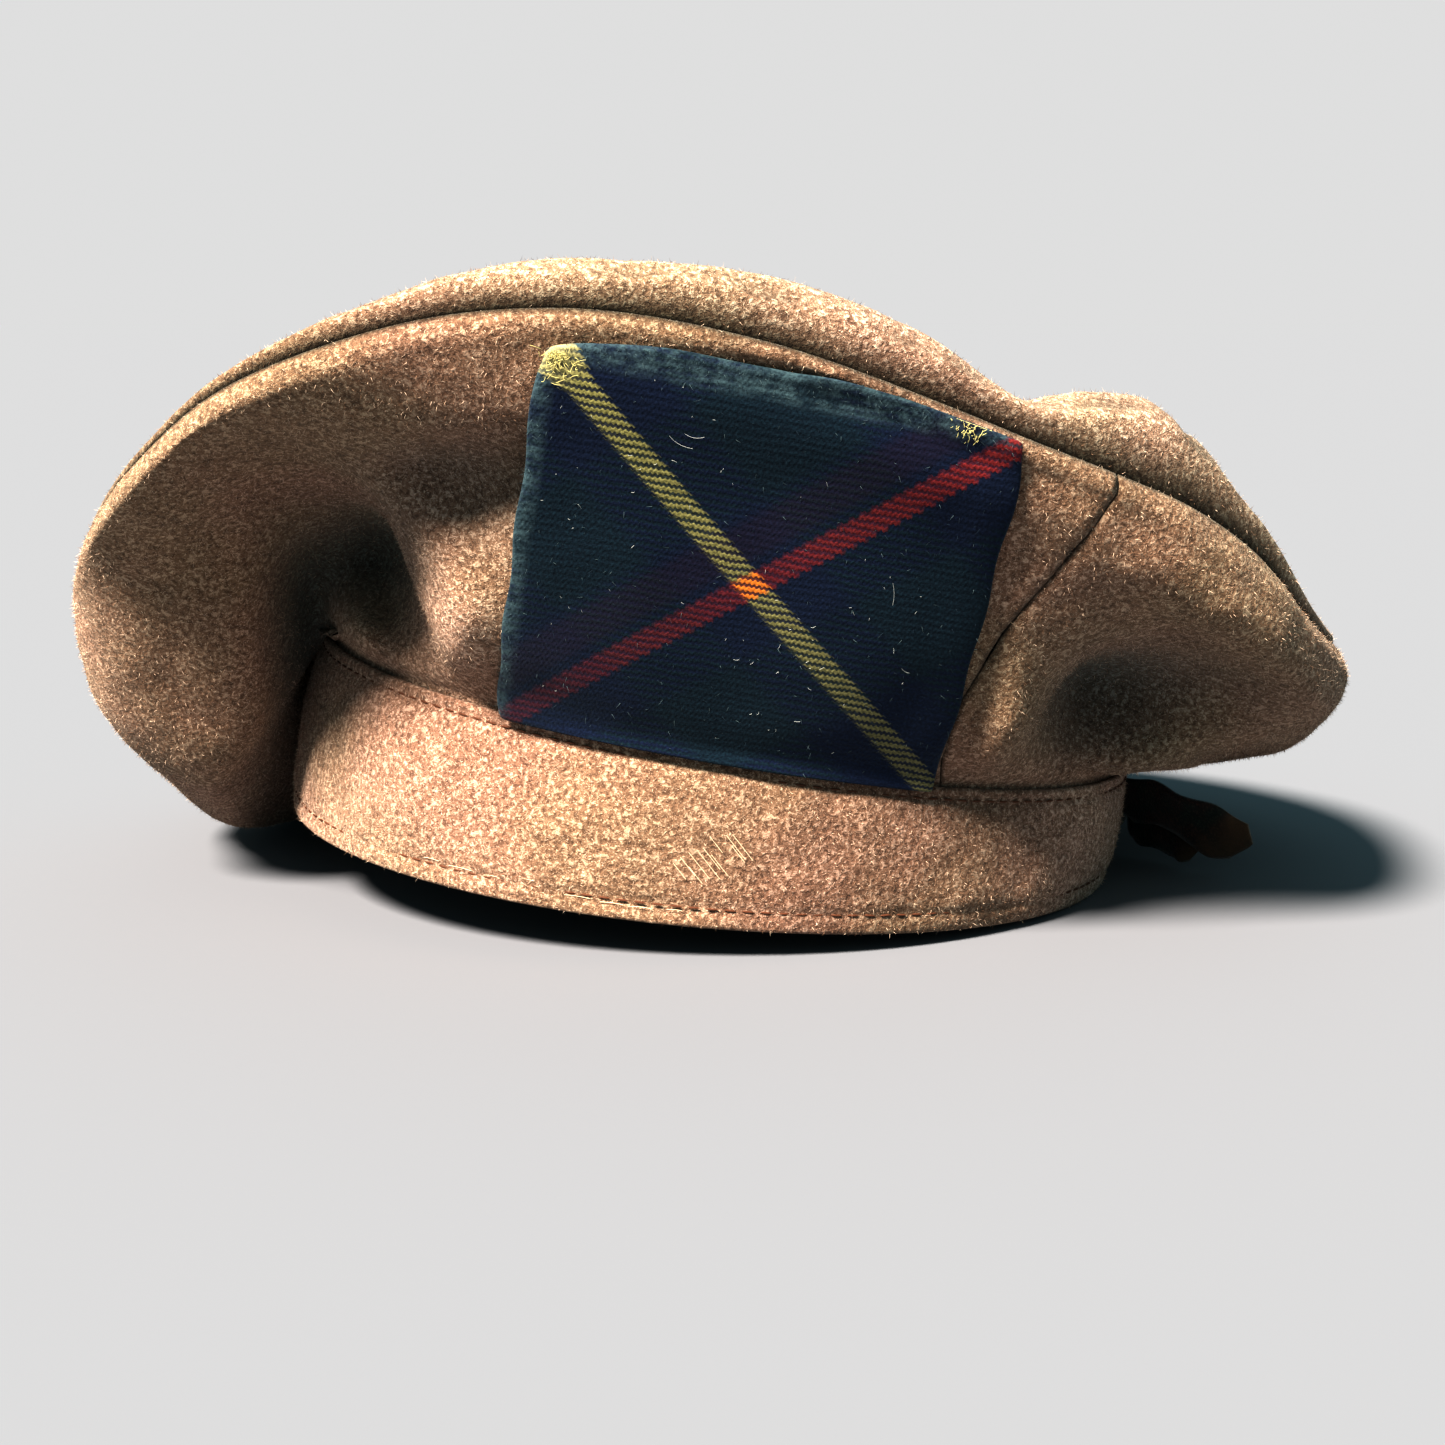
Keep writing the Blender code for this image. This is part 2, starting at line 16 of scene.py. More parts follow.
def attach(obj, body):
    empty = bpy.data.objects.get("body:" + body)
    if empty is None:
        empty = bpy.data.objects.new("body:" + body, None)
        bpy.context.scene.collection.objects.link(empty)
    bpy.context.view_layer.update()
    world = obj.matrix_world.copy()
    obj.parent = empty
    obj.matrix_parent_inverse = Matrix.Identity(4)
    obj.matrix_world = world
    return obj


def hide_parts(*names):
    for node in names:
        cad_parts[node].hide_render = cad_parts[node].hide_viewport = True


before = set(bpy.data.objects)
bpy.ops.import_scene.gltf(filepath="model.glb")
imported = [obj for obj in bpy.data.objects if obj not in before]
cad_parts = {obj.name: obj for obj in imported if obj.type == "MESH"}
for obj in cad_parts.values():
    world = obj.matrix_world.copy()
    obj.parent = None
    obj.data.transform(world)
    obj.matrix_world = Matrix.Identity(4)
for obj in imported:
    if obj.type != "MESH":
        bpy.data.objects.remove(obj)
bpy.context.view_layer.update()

MM = 0.001
# The middle of the whole bonnet's base, which is the frame's origin.
BASE_MIDDLE = (4.0, 3.3, 0.05)

# Head band.
BAND_HALF_LENGTH = 93.0
BAND_HALF_WIDTH = 86.4
BAND_FRONT_LIFT = 17.7
BAND_LOW_ANGLE = -17.0
BAND_LEAN_BACK = 6.6
BAND_TAPER = 1.5
BAND_SWELL = 1.6
BAND_HEIGHT_BACK = 25.5
BAND_HEIGHT_FRONT = 39.5
BAND_LAYER = 1.5
BAND_FOLDED = 3.4
SLOT_WIDTH = 2.7
SLOT_DEPTH = 9.0
BAND_STITCH_FROM_TOP = 2.4
BAND_STITCH_FROM_EDGE = 4.2
BAND_STITCH_SINK = 0.45
BAND_STITCH_HALF_WIDTH = 1.0
# The round fold along the band's lower edge, and how much of its height the cloth's
# unevenness takes to fade to none at either edge.
BAND_FOLD_RADIUS = 0.9
BAND_FOLD_BENDS = (30, 60, 90)
BAND_EDGE_SHARE = 0.08
# The rounding of the layers' edges at the band's top, and how much lower the inner layer is.
BAND_TOP_ROUND = 0.4
BAND_INNER_DROP = 1.5
# How far under the top its outer face ends, and how far under the slot the layers meet.
BAND_FACE_SHORT = 0.5
BAND_STEP = 5.0

# Crown.
WOOL = 2.0
GAP = 0.3
TURN_IN = 3.0
TURN_IN_SLOPE = 30.0
TUCK_DEPTH = 8.0
PANEL_SEAM_NEAR = 298.5
PANEL_SEAM_FAR = 119.5
# How deep the panel seams lie, how far to each side they pull the cloth in, how much of the
# depth they have close to the band, and from where they get deeper, over how many places.
PANEL_SEAM_DIP = 0.6
PANEL_SEAM_HALF_ANGLE = 1.3
PANEL_SEAM_LOW_SHARE = 0.35
PANEL_SEAM_DEEPER_FROM = 0.25
PANEL_SEAM_DEEPER_OVER = 0.3
# How far round the near panel seam strays from its angle, at even places from band to rim.
NEAR_SEAM_STRAY = (0.5, -2.0, -3.5, -4.0, -3.5, -3.0, -2.0, -1.0, -0.4, 0.4, 1.2)
STRAY_HALF_ANGLE = 18.0
# Where the side panel rolls in to the rim seam: how far out of it and how far under it.
SIDE_ROLL_OUT = 1.6
SIDE_ROLL_UNDER = 2.0
# How far from the band and from the rim, in places, folds and hollows fade to none.
FOLD_FADE_LOW = 0.12
FOLD_FADE_HIGH = 0.15
HOLLOW_FADE_LOW = 0.16
HOLLOW_FADE_HIGH = 0.2

CROWN_COLUMNS = (
    "angle", "over", "up", "low_r", "low_z", "mid_r", "mid_z", "high_r", "high_z",
    "rim_r", "rim_z", "seam_r", "seam_z", "top_z", "puff",
)
CROWN_ROWS = (
    (0, 3.0, 3.5, 108, 24.0, 118, 22.0, 134, 26.0, 145.0, 41.0, 142.0, 49.0, 62, 4),
    (30, 3.5, 3.5, 107, 19.0, 118, 11.0, 133, 14.5, 143.0, 27.0, 140.0, 35.0, 54, 4),
    (60, 3.5, 3.5, 101, 17.0, 112, 5.0, 128, 4.0, 138.5, 13.0, 136.0, 21.0, 52, 4),
    (90, 3.5, 3.5, 97, 22.0, 109, 5.0, 125, 0.8, 137.0, 8.0, 134.5, 16.0, 56, 4),
    (120, 3.5, 3.5, 95, 26.0, 108, 5.5, 125, 0.7, 138.0, 10.0, 135.5, 18.5, 62, 4),
    (150, 3.5, 3.5, 95, 27.0, 108, 2.6, 126, 5.0, 138.5, 24.0, 136.0, 33.0, 67, 4),
    (165, 3.5, 3.5, 95, 28.0, 109, 5.2, 129, 16.0, 138.0, 45.0, 135.5, 54.0, 71, 4),
    (180, 3.5, 3.5, 95, 33.0, 109, 16.0, 130, 34.0, 137.5, 59.0, 134.5, 68.0, 76, 3),
    (195, 3.0, 4.0, 94, 46.0, 110, 31.0, 130, 48.0, 138.5, 67.0, 136.0, 75.0, 82, 3),
    (205, 2.0, 4.5, 89, 59.0, 101, 54.0, 124, 65.0, 141.0, 78.0, 138.5, 85.0, 87, 3),
    (215, 1.5, 5.0, 86, 66.0, 91, 77.0, 116, 85.0, 142.0, 91.0, 139.5, 98.0, 94, 3),
    (225, 1.5, 5.0, 87, 66.0, 94, 81.0, 117, 97.0, 140.5, 105.5, 138.0, 111.5, 101, 4),
    (235, 2.5, 5.0, 95, 64.0, 107, 83.0, 122, 102.0, 137.5, 115.0, 135.8, 120.2, 104, 6),
    (245, 2.5, 5.0, 96, 63.0, 109, 83.0, 122, 104.5, 134.2, 121.5, 132.5, 126.0, 106, 9),
    (255, 2.5, 5.0, 95, 60.0, 107, 80.0, 119.5, 103.0, 131.0, 123.3, 129.5, 127.6, 107, 10.5),
    (270, 2.5, 5.0, 94, 55.0, 105, 74.0, 117, 97.0, 130.0, 118.0, 128.5, 122.3, 106, 13),
    (285, 2.5, 5.0, 96, 48.0, 108, 66.0, 119, 87.0, 131.5, 106.3, 130.0, 110.8, 100, 12),
    (292, 2.7, 5.0, 97, 45.7, 109, 62.0, 121, 82.5, 133.2, 100.0, 131.5, 104.6, 96, 8),
    (300, 3.0, 5.0, 98, 43.0, 110, 57.0, 124, 76.0, 136.4, 93.0, 134.5, 97.8, 92, 16),
    (307, 3.2, 4.8, 99, 40.0, 110, 51.0, 125, 69.0, 139.5, 84.5, 137.0, 91.5, 88, 19),
    (315, 3.5, 4.5, 102, 36.0, 111, 43.0, 126, 58.0, 141.5, 75.0, 139.0, 82.0, 83, 12),
    (325, 3.5, 4.0, 104, 31.0, 114, 33.0, 128, 43.0, 143.0, 60.5, 140.0, 67.5, 76, 5),
    (345, 3.0, 3.5, 105, 28.0, 115, 26.0, 134, 32.0, 143.5, 46.5, 141.0, 54.5, 66, 4),
)
TOP_CENTRE = 80.0
TOP_RISE_TO_LEFT = 26.0
TOP_RISE_TO_FRONT = 6.0
TOP_HALF_WAY = 0.65
# The top's puff beside the rim: how wide it is, and what brings its curve's peak to 1.
PUFF_WIDTH = 46.0
PUFF_SCALE = 3.49
# The top's rolled edge: how far it swells out over the rim seam, how far in from the seam
# it is full and where it ends, and where the seam's gap stops lifting the cloth.
RIM_SWELL = 1.2
RIM_SWELL_FULL = 1.2
RIM_SWELL_END = 9.0
RIM_GAP_END = 2.0

# Folds of the side panels; the last rows are small ones that only the looks have.
# Columns: angle, place, lean, half_angle, half_place, height.
SIDE_FOLD_ROWS = (
    (221, 0.52, 6, 7, 0.22, -4.0),
    (236, 0.45, 10, 4.0, 0.24, 3.0),
    (303, 0.35, 6, 3.5, 0.22, 2.2),
    (312, 0.42, 8, 6, 0.25, -4.0),
    (190, 0.70, 0, 10, 0.20, 2.0),
    (320, 0.79, 0, 15, 0.09, 7.0),
    (277, 0.94, 0, 20, 0.05, -5.5),
    (216, 0.16, 0, 3.0, 0.06, -1.4),
    (240, 0.62, -14, 4.0, 0.12, -1.2),
    (289, 0.25, 4, 3.0, 0.15, -0.8),
    (322, 0.30, -6, 4.0, 0.20, 1.2),
    (336, 0.42, 0, 15, 0.16, -4.0),
)
# Hollows of the near side's cloth, the deepest a pocket beside the band's front: the middle of
# each (x, z), how far it spreads each way, and how far it sinks in towards +Y.
# Columns: x, z, front, back, below, above, depth.
POCKET_ROWS = (
    (-70, 76, 12, 9, 11, 10, 25.0),
    (-86, 62, 6, 9, 32, 17, 30.0),
    (-77, 61, 5, 7, 9, 7, -14.0),
    (-54, 98, 17, 22, 14, 6, 13.0),
    (-53, 65, 8, 8, 12, 13, -5.5),
    (77, 51, 14, 27, 16, 10, 24.0),
    (53, 46, 4.5, 6, 16, 15, -5.0),
)
# The y at which the near side's hollows and spots are gone, and over how far they fade.
POCKET_FADE_FROM = 35.0
POCKET_FADE_OVER = 60.0
# Dents and rises of the top. Columns: x, y, half_long, half_wide, turn, height.
TOP_FOLD_ROWS = (
    (-20, -60, 60, 26, 10, -5.0),
    (60, -30, 45, 20, -35, 3.5),
    (50, 10, 50, 18, -25, -4.0),
    (-70, 20, 40, 22, 60, -3.0),
    (10, 105, 60, 12, 0, 3.0),
)
# Where the top's rolled edge hangs out over the rim seam, and by how much.
# Columns: angle, half_angle, out.
OVERHANG_ROWS = (
    (235, 14, 1.0),
    (268, 14, 1.6),
    (290, 10, 2.6),
    (320, 16, 1.4),
)
# How far in from the seam the overhang is full, where it ends, and over how far it fades.
OVERHANG_FULL_INSET = 2.2
OVERHANG_END_INSET = 14.0
OVERHANG_FADE = 11.0
# Small creases of the top that run beside the rim seam: how far in from the seam each lies.
# Columns: angle, inset, half_angle, half_inset, height.
RIM_CREASE_ROWS = (
    (280, 8.0, 12, 1.5, -1.6),
    (300, 5.5, 6, 2.0, -2.0),
    (312, 3.0, 5, 2.2, -1.4),
    (262, 12.0, 7, 2.0, -0.7),
    (308, 5.5, 1.5, 5.0, -2.4),
    (260, 2.6, 4.0, 1.6, -1.6),
    (271, 2.6, 4.0, 1.6, -2.0),
    (282, 2.6, 3.0, 1.6, -1.8),
    (287, 2.6, 2.0, 1.6, -1.6),
)
# How far in from the seam the creases reach their full height.
RIM_CREASE_FULL_INSET = 3.0
# The cloth's own unevenness, from broad to fine. Columns: size, height, seed.
CLOTH_LUMP_ROWS = (
    (24.0, 0.9, 1),
    (9.0, 0.40, 2),
    (3.6, 0.16, 3),
)

# Patch.
PATCH_THICKNESS = 1.3
PATCH_GAP = 0.6
PATCH_SIDE = 89.0
PATCH_CORNERS = (
    (-37.2, -126.0, 121.8),
    (48.4, -125.0, 105.6),
    (39.8, -75.5, 34.8),
    (-46.1, -73.0, 49.2),
)
PATCH_ANGLE_LEFT = 250
PATCH_ANGLE_RIGHT = 295
PATCH_TRIES = 30
PATCH_LOWEST_PLACE = 0.05
PATCH_HIGHEST_PLACE = 0.975
PATCH_TOP_BOW = 4.5
PATCH_DROOP = 3.0
PATCH_DROOP_SHARE = 0.09
PATCH_SQUARES = 30
# The dents of the sewn edge: how far apart and how far from the edge they are, how wide and
# how deep, and the low ridge that runs beside them.
PATCH_DENT_PITCH = 5.5
PATCH_DENT_FROM_EDGE = 2.5
PATCH_DENT_HALF_WIDTH = 1.6
PATCH_DENT_DEPTH = 0.25
PATCH_RIDGE_FROM_EDGE = 4.0
PATCH_RIDGE_HALF_WIDTH = 3.5
PATCH_RIDGE_HEIGHT = 0.35
# How far from the edge the patch's unevenness is full, how far down and up it may go, and
# how far the folded edge bulges.
PATCH_FLAT_EDGE = 5.0
PATCH_LIFT_RANGE = (-0.2, 1.0)
PATCH_EDGE_BULGE = 0.5
# How much the patch's corners are rounded and over how far, how far its edges wave, and the
# wave's radians down its left and right edges and along its upper and lower ones.
PATCH_CORNER_ROUND = 1.3
PATCH_CORNER_SIZE = 4.0
PATCH_EDGE_WAVE = 0.35
PATCH_EDGE_WAVES_DOWN = 23
PATCH_EDGE_WAVES_ACROSS = 19
# Unevenness of the patch. Columns: size, height, seed.
PATCH_LUMP_ROWS = (
    (11.0, 0.35, 5),
    (30.0, 0.5, 6),
)

# Tape tie. Columns of both tails: x, y, z, half_width, turn.
TAPE_THICKNESS = 0.9
TAIL_UPPER_ROWS = (
    (99.8, 3.0, 13.8, 4.6, 82),
    (101.6, -4.0, 14.8, 5.2, 80),
    (104.6, -11.0, 14.6, 5.4, 76),
    (109.5, -17.0, 13.0, 5.6, 74),
    (115.5, -21.0, 10.2, 6.4, 74),
    (121.5, -24.5, 7.8, 5.2, 72),
)
TAIL_LOWER_ROWS = (
    (101.9, 3.0, 8.0, 3.8, 86),
    (104.8, -3.0, 7.9, 4.6, 86),
    (107.6, -8.0, 7.2, 4.9, 84),
    (110.4, -12.0, 6.6, 5.0, 84),
    (113.6, -15.5, 6.0, 4.7, 84),
)
# How finely a tail is drawn along and across, and how often its stations are smoothed.
TAIL_STATIONS = 40
TAIL_COLUMNS = 9
TAIL_SMOOTHINGS = 6
# How a tail's edges and end stray from a plain strip: the edges' wave and the end's point.
TAIL_WAVE = 0.07
TAIL_RIPPLE = 0.9
TAIL_POINT = 2.2
KNOT_CENTRE = (99.9, 7.6, 11.2)
KNOT_HALF = (3.7, 4.6, 5.8)
# How deep the knot's wrapped turns lie, and the finer folds between them.
KNOT_TURN_DEPTH = 0.14
KNOT_FOLD_DEPTH = 0.05

# Colours of the wool: its ground, its pale hairs and its dark ones.
CROWN_WOOL_COLOURS = ((0.200, 0.117, 0.077), (0.66, 0.49, 0.375), (0.062, 0.033, 0.022))
BAND_WOOL_COLOURS = ((0.205, 0.118, 0.080), (0.68, 0.50, 0.395), (0.066, 0.034, 0.023))
# How fine the felt's clumps are, and how high they lie in mm.
WOOL_GRAIN = 950.0
WOOL_RELIEF = 1.15
# What painted shade along seams and creases, painted shade in the hollows and painted light do to
# the wool's colour.
NO_CHANGE = (1, 1, 1, 1)
PAINTED_SHADE_TINT = (0.120, 0.130, 0.110, 1)
HOLLOW_SHADE_TINT = (0.26, 0.52, 0.68, 1)
PAINTED_LIGHT_TINT = (1.42, 1.52, 1.62, 1)

# Painted shade and painted light on the wool, each a share from 0 to 1. How dark the side's
# painted shade is along the rim seam and the panel seams, and how far that spreads, in places and
# in columns of points.
RIM_SHADE_PLACE = 0.011
PANEL_SEAM_SHADE = 0.4
PANEL_SEAM_SHADE_COLUMNS = 0.6
# How much painted shade the cloth has in a hollow, and the depth that makes it full.
HOLLOW_SHARE = 0.85
HOLLOW_DEPTH = 24.0
# Where the strip of side over the patch has patchy painted shade, and how much.
STRIP_SHADE_SHARE = 0.75
STRIP_SHADE_ANGLE = 274.0
STRIP_SHADE_HALF_ANGLE = 14.0
STRIP_SHADE_HALF_PLACE = 0.035
# How patchy that painted shade is: its middle, the size of its patches and how far they stray.
STRIP_SHADE_MIDDLE = 0.55
STRIP_SHADE_PATCHES = (5.0, 1.0, 11)
# How much of its nap the cloth loses where its hollow's painted shade is full.
HOLLOW_NAP_LOSS = 0.6
# Spots of painted light on the near side's cloth: the middle of each (x, z), how far it spreads
# each way, how much painted light it has and how much less of the hollow's painted shade it keeps.
# Columns: x, z, front, back, below, above, lighter, less_shade.
LIT_SPOT_ROWS = (
    (-51, 67, 8, 8, 9, 8, 1.0, 0.9),
    (-79, 63, 4, 6, 6, 5, 0.9, 0.9),
)
# The near side of the band: painted shade over its middle, and painted light towards its back end.
BAND_NEAR_DEPTH = 40.0
BAND_SHADE = 0.30
BAND_SHADE_X = 31.0
BAND_SHADE_HALF = 34.0
BAND_LIT = 0.9
BAND_LIT_FROM = 58.0
BAND_LIT_OVER = 26.0
# The top: its painted shade on the first ring inside the seam, for each mm of depth of a crease,
# and at most; and the x from which it has painted light, and over how far.
TOP_EDGE_SHADE = 0.15
CREASE_SHADE = 0.32
CREASE_SHADE_MOST = 0.8
TOP_LIT_FROM = -95.0
TOP_LIT_OVER = 70.0

# Weave and stripes of the tartan, in mm from the patch's diagonals.
TARTAN_TWILL_PITCH = 1.8
YELLOW_STRIPE = 5.4
YELLOW_CORNER = 13.0
RED_STRIPE = 5.2
# The broad stripes. Columns: middle, half_width, softness of the edge.
GREEN_WARP_ROWS = ((-24.0, 11.0, 1.5), (26.0, 12.0, 1.5))
GREEN_WEFT_ROWS = ((-27.0, 12.0, 1.5), (25.0, 11.0, 1.5))
PLUM_ROW = (-9.0, 4.0, 1.0)
PLUM_SHARE = 0.30
# Its colours, each from its dark flecks to its light ones.
NAVY = ((0.0038, 0.0068, 0.020, 1), (0.0095, 0.0175, 0.044, 1))
BOTTLE_GREEN = ((0.0036, 0.0088, 0.0160, 1), (0.0095, 0.0245, 0.0370, 1))
RED = ((0.11, 0.008, 0.010, 1), (0.26, 0.036, 0.031, 1))
YELLOW = ((0.14, 0.125, 0.042, 1), (0.40, 0.355, 0.14, 1))
PLUM = (0.022, 0.008, 0.018, 1)
# A painted highlight that the yellow stripe turns to near the patch's upper left corner.
YELLOW_CORNER_HIGHLIGHT = (0.36, 0.32, 0.17, 1)
YELLOW_OVER_RED = (0.78, 0.26, 0.03, 1)
WORN_EDGE = (0.056, 0.088, 0.098, 1)
# How far in from the patch's left and upper edges it is worn pale.
WORN_LEFT = 2.4
WORN_UPPER = 3.2

# Colours of the tape: its ribs, dark and light, and its rusty end.
TAPE_RIBS = ((0.009, 0.010, 0.010, 1), (0.040, 0.034, 0.028, 1))
TAPE_END = (0.10, 0.052, 0.026, 1)

# Pale threads on the near side of the band: the left end's x, how high up from the band's
# lower edge, and how far each reaches to the right. The basting stitches bow up in the
# middle, and the worn threads run down at 45 degrees. Columns: x, rise, reach.
BASTING_BOW = 0.25
BASTING_ROWS = (
    (-62, 5.2, 3.0), (-57, 4.8, 4.5), (-50, 4.6, 3.5), (-44, 5.4, 4.0), (-39, 4.3, 3.0),
    (-34, 3.6, 5.0), (-27, 3.3, 4.5), (-21, 3.2, 4.0), (-14, 3.4, 3.0),
)
WORN_ROWS = (
    (-7.0, 21.0, 6.0), (-6.0, 21.4, 6.5), (-8.6, 19.0, 3.0), (-12.0, 15.5, 5.0),
    (-10.6, 16.2, 5.5), (-9.4, 16.6, 4.0), (-13.4, 14.4, 3.5), (-7.6, 15.4, 4.0),
    (-14.5, 13.0, 3.0), (-4.0, 17.4, 3.0), (-11.4, 12.6, 3.2),
)
# Tufts of yellow fibres where the patch's edges are worn, and fine hairs lying on it: places
# across and up it, from 0 to 1. Columns of the tufts: across, up, count, spread, length.
TUFT_ROWS = (
    (0.045, 0.957, 70, 1.4, 0.9), (0.028, 0.972, 40, 0.8, 0.8), (0.020, 0.030, 24, 0.6, 0.7),
    (0.886, 0.978, 26, 0.7, 0.35), (0.866, 0.974, 22, 0.7, 0.35), (0.848, 0.984, 16, 0.6, 0.35),
)
LINT_LINES = (
    ((0.28, 0.83), (0.30, 0.81), (0.33, 0.81)), ((0.31, 0.84), (0.33, 0.83), (0.35, 0.84)),
    ((0.79, 0.60), (0.80, 0.58), (0.80, 0.55)), ((0.85, 0.40), (0.86, 0.39), (0.87, 0.39)),
    ((0.61, 0.80), (0.61, 0.79), (0.62, 0.78)), ((0.73, 0.70), (0.73, 0.68), (0.74, 0.67)),
)
LINT_SPECKS = 110
LINT_SPECK_LENGTH = 0.45
# How thick the threads and fibres are.
LOOSE_THREAD_RADIUS = 0.07
TUFT_RADIUS = 0.04
LINT_RADIUS = 0.028
# How far off the patch the start, middle and end of a tuft's fibre and of a hair lie.
TUFT_LIFTS = (0.1, 0.6, 0.4)
LINT_LIFTS = (0.0, 0.15, 0.05)

# Of the nap's hairs, those with a tone, from 0 to 1, over the first are pale, and those
# under the second are dark.
HAIR_PALE_FROM = 0.62
HAIR_DARK_TO = 0.22
# How many hairs the nap of each wool has to a square metre where it is full, how long and
# thick they are in metres, and how far they stand rather than lie; then the patch's.
SIDE_NAP_DENSITY = 0.88e6
TOP_NAP_DENSITY = 0.70e6
BAND_NAP_DENSITY = 0.95e6
WOOL_NAP = {"Length": 0.0008, "Radius": 0.000045, "Upright": 0.7}
PATCH_NAP = {"Hairs_per_square_metre": 2.2e6, "Length": 0.0010, "Radius": 0.00004, "Upright": 0.6}
# The patch's nap: how far in from its upper and its left edge it is thick, and its share of
# the full nap along the left edge, on the folded edge itself and everywhere.
PATCH_NAP_UPPER = 3.0
PATCH_NAP_LEFT = 2.0
PATCH_NAP_LEFT_SHARE = 0.6
PATCH_NAP_FOLD_SHARE = 0.5
PATCH_NAP_LEAST = 0.05
# The band's stitches: how far apart, how long and how wide they are in metres.
BAND_STITCHES = {"Pitch": 0.0036, "Length": 0.0026, "Width": 0.0005, "Slant": 0.0}

# Names of the values stored on meshes for the node trees.
NAP_WEIGHT = "nap_weight"
HAIR_TONE = "hair_tone"
FACE_NORMAL = "face_normal"
# Share of painted shade along seams and creases, over the patch and on the band's middle.
PAINTED_SHADE = "seam_shade"
# Share of painted shade in the near side's hollows.
HOLLOW_SHADE = "hollow_shade"
# Share of painted light on the top, the band's back end and two spots of the side.
PAINTED_LIGHT = "sun_fade"

# How finely the cloth is drawn.
SIDE_COLUMNS = 300
SIDE_ROWS = 64
# Further rows of the side panels close to the rim seam, where they turn in.
SIDE_LAST_PLACES = (0.976, 0.991)
# How much closer together the side's rows are at its ends than in its middle.
SIDE_ROW_CROWDING = 0.04
TOP_COLUMNS = 576
TOP_RADIUS = 136.0
# Runs of the top's rings, inwards from the rim. Columns: first inset, last inset, rings.
TOP_RING_ROWS = ((0, 12, 16), (12, 46, 26), (46, 72, 17), (72, 104, 16), (104, 124, 9))
TOP_LAST_RINGS = (128.0, 132.0)
# How far in from the rim the top's rings start to have fewer points, and how many times fewer.
TOP_HALVINGS = ((46.0, 2), (104.0, 4), (124.0, 8))
# Where the rings start to be spaced for the round middle, and over how far.
TOP_ROUND_FROM = 20
TOP_ROUND_OVER = 26
BAND_COLUMNS = 480
BAND_FACE_ROWS = 44
BAND_INSIDE_ROWS = 16
# How far from a panel's ends, in places, and from the top's edge, in mm, the unevenness fades.
LUMPS_FADE_LOW = 0.10
LUMPS_FADE_HIGH = 0.06
TOP_LUMPS_FADE = 4.0
# Where the side's nap starts, in places from the band, and over how far it gets full.
NAP_FROM = 0.02
NAP_OVER = 0.04
# How low the nap stops over the floor, and how high over it the lowest cloth lies.
NAP_LOWEST = 1.5
FLOOR_CLEARANCE = 0.2

# Camera: where it stands round the bonnet, and how far off.
CAMERA_AZIMUTH = -5.0
CAMERA_HEIGHT_ANGLE = 9.5
CAMERA_DISTANCE = 565.0
CAMERA_TARGET = (6.0, 10.0, 32.0)
CAMERA_LENS = 59.8
CAMERA_SENSOR = 36.0

# Light: the sun's place round the bonnet and above it, and how wide it is, all in degrees;
# the sky that lights the bonnet, and the brightness of what the camera sees behind it.
KEY_AZIMUTH = -40.0
KEY_HEIGHT_ANGLE = 46.0
KEY_WIDTH = 14.0
KEY_STRENGTH = 13.0
KEY_COLOUR = (1.0, 0.93, 0.83)
SKY_COLOUR = (0.59, 1.0, 1.06)
SKY_STRENGTH = 0.40
BACKDROP_STRENGTH = 0.52
FLOOR_HALF = 60.0
EXPOSURE = 0.62
CONTRAST_GAMMA = 0.73


# The shape ---------------------------------------------------------------------------------


def column(rows, columns, name):
    return np.array(rows, float)[:, columns.index(name)]


def hermite(s, start, end, start_rate, end_rate):
    return (
        (2 * s**3 - 3 * s**2 + 1) * start + (s**3 - 2 * s**2 + s) * start_rate
        + (3 * s**2 - 2 * s**3) * end + (s**3 - s**2) * end_rate
    )


def eased(share):
    share = np.clip(share, 0, 1)
    return share * share * (3 - 2 * share)


def ramped(value, over):
    """A share that climbs evenly from 0 at a value of 0 to 1 at over."""
    return np.clip(value / over, 0, 1)


def hump(off, half):
    """1 where off is 0, falling to 0 on both sides; at half it is still about a third."""
    return np.exp(-((off / half) ** 2))


def off_angle(angle):
    """An angle in degrees as one between -180 and 180."""
    return np.mod(angle + 180, 360) - 180


def all_round(count):
    """Angles of so many even steps round a circle, in radians."""
    return np.linspace(0, 2 * np.pi, count, endpoint=False)


def direction(azimuth, height_angle):
    """The unit vector towards a place round the bonnet and above it, in degrees."""
    a, e = np.radians(azimuth), np.radians(height_angle)
    return np.array((np.sin(a) * np.cos(e), -np.cos(a) * np.cos(e), np.sin(e)))


def round_value(angle, name):
    """A column of the crown's table at any angle in degrees, as a smooth closed curve."""
    angles = column(CROWN_ROWS, CROWN_COLUMNS, "angle")
    values = column(CROWN_ROWS, CROWN_COLUMNS, name)
    angles = np.concatenate([angles[-2:] - 360, angles, angles[:3] + 360])
    values = np.concatenate([values[-2:], values, values[:3]])
    width = np.diff(angles)
    rate = np.diff(values) / width
    slope = np.zeros(len(angles))
    slope[1:-1] = (rate[:-1] * width[1:] + rate[1:] * width[:-1]) / (width[1:] + width[:-1])
    at = np.mod(angle, 360.0)
    i = np.clip(np.searchsorted(angles, at, side="right") - 1, 1, len(angles) - 3)
    return hermite(
        (at - angles[i]) / width[i],
        values[i], values[i + 1], width[i] * slope[i], width[i] * slope[i + 1],
    )


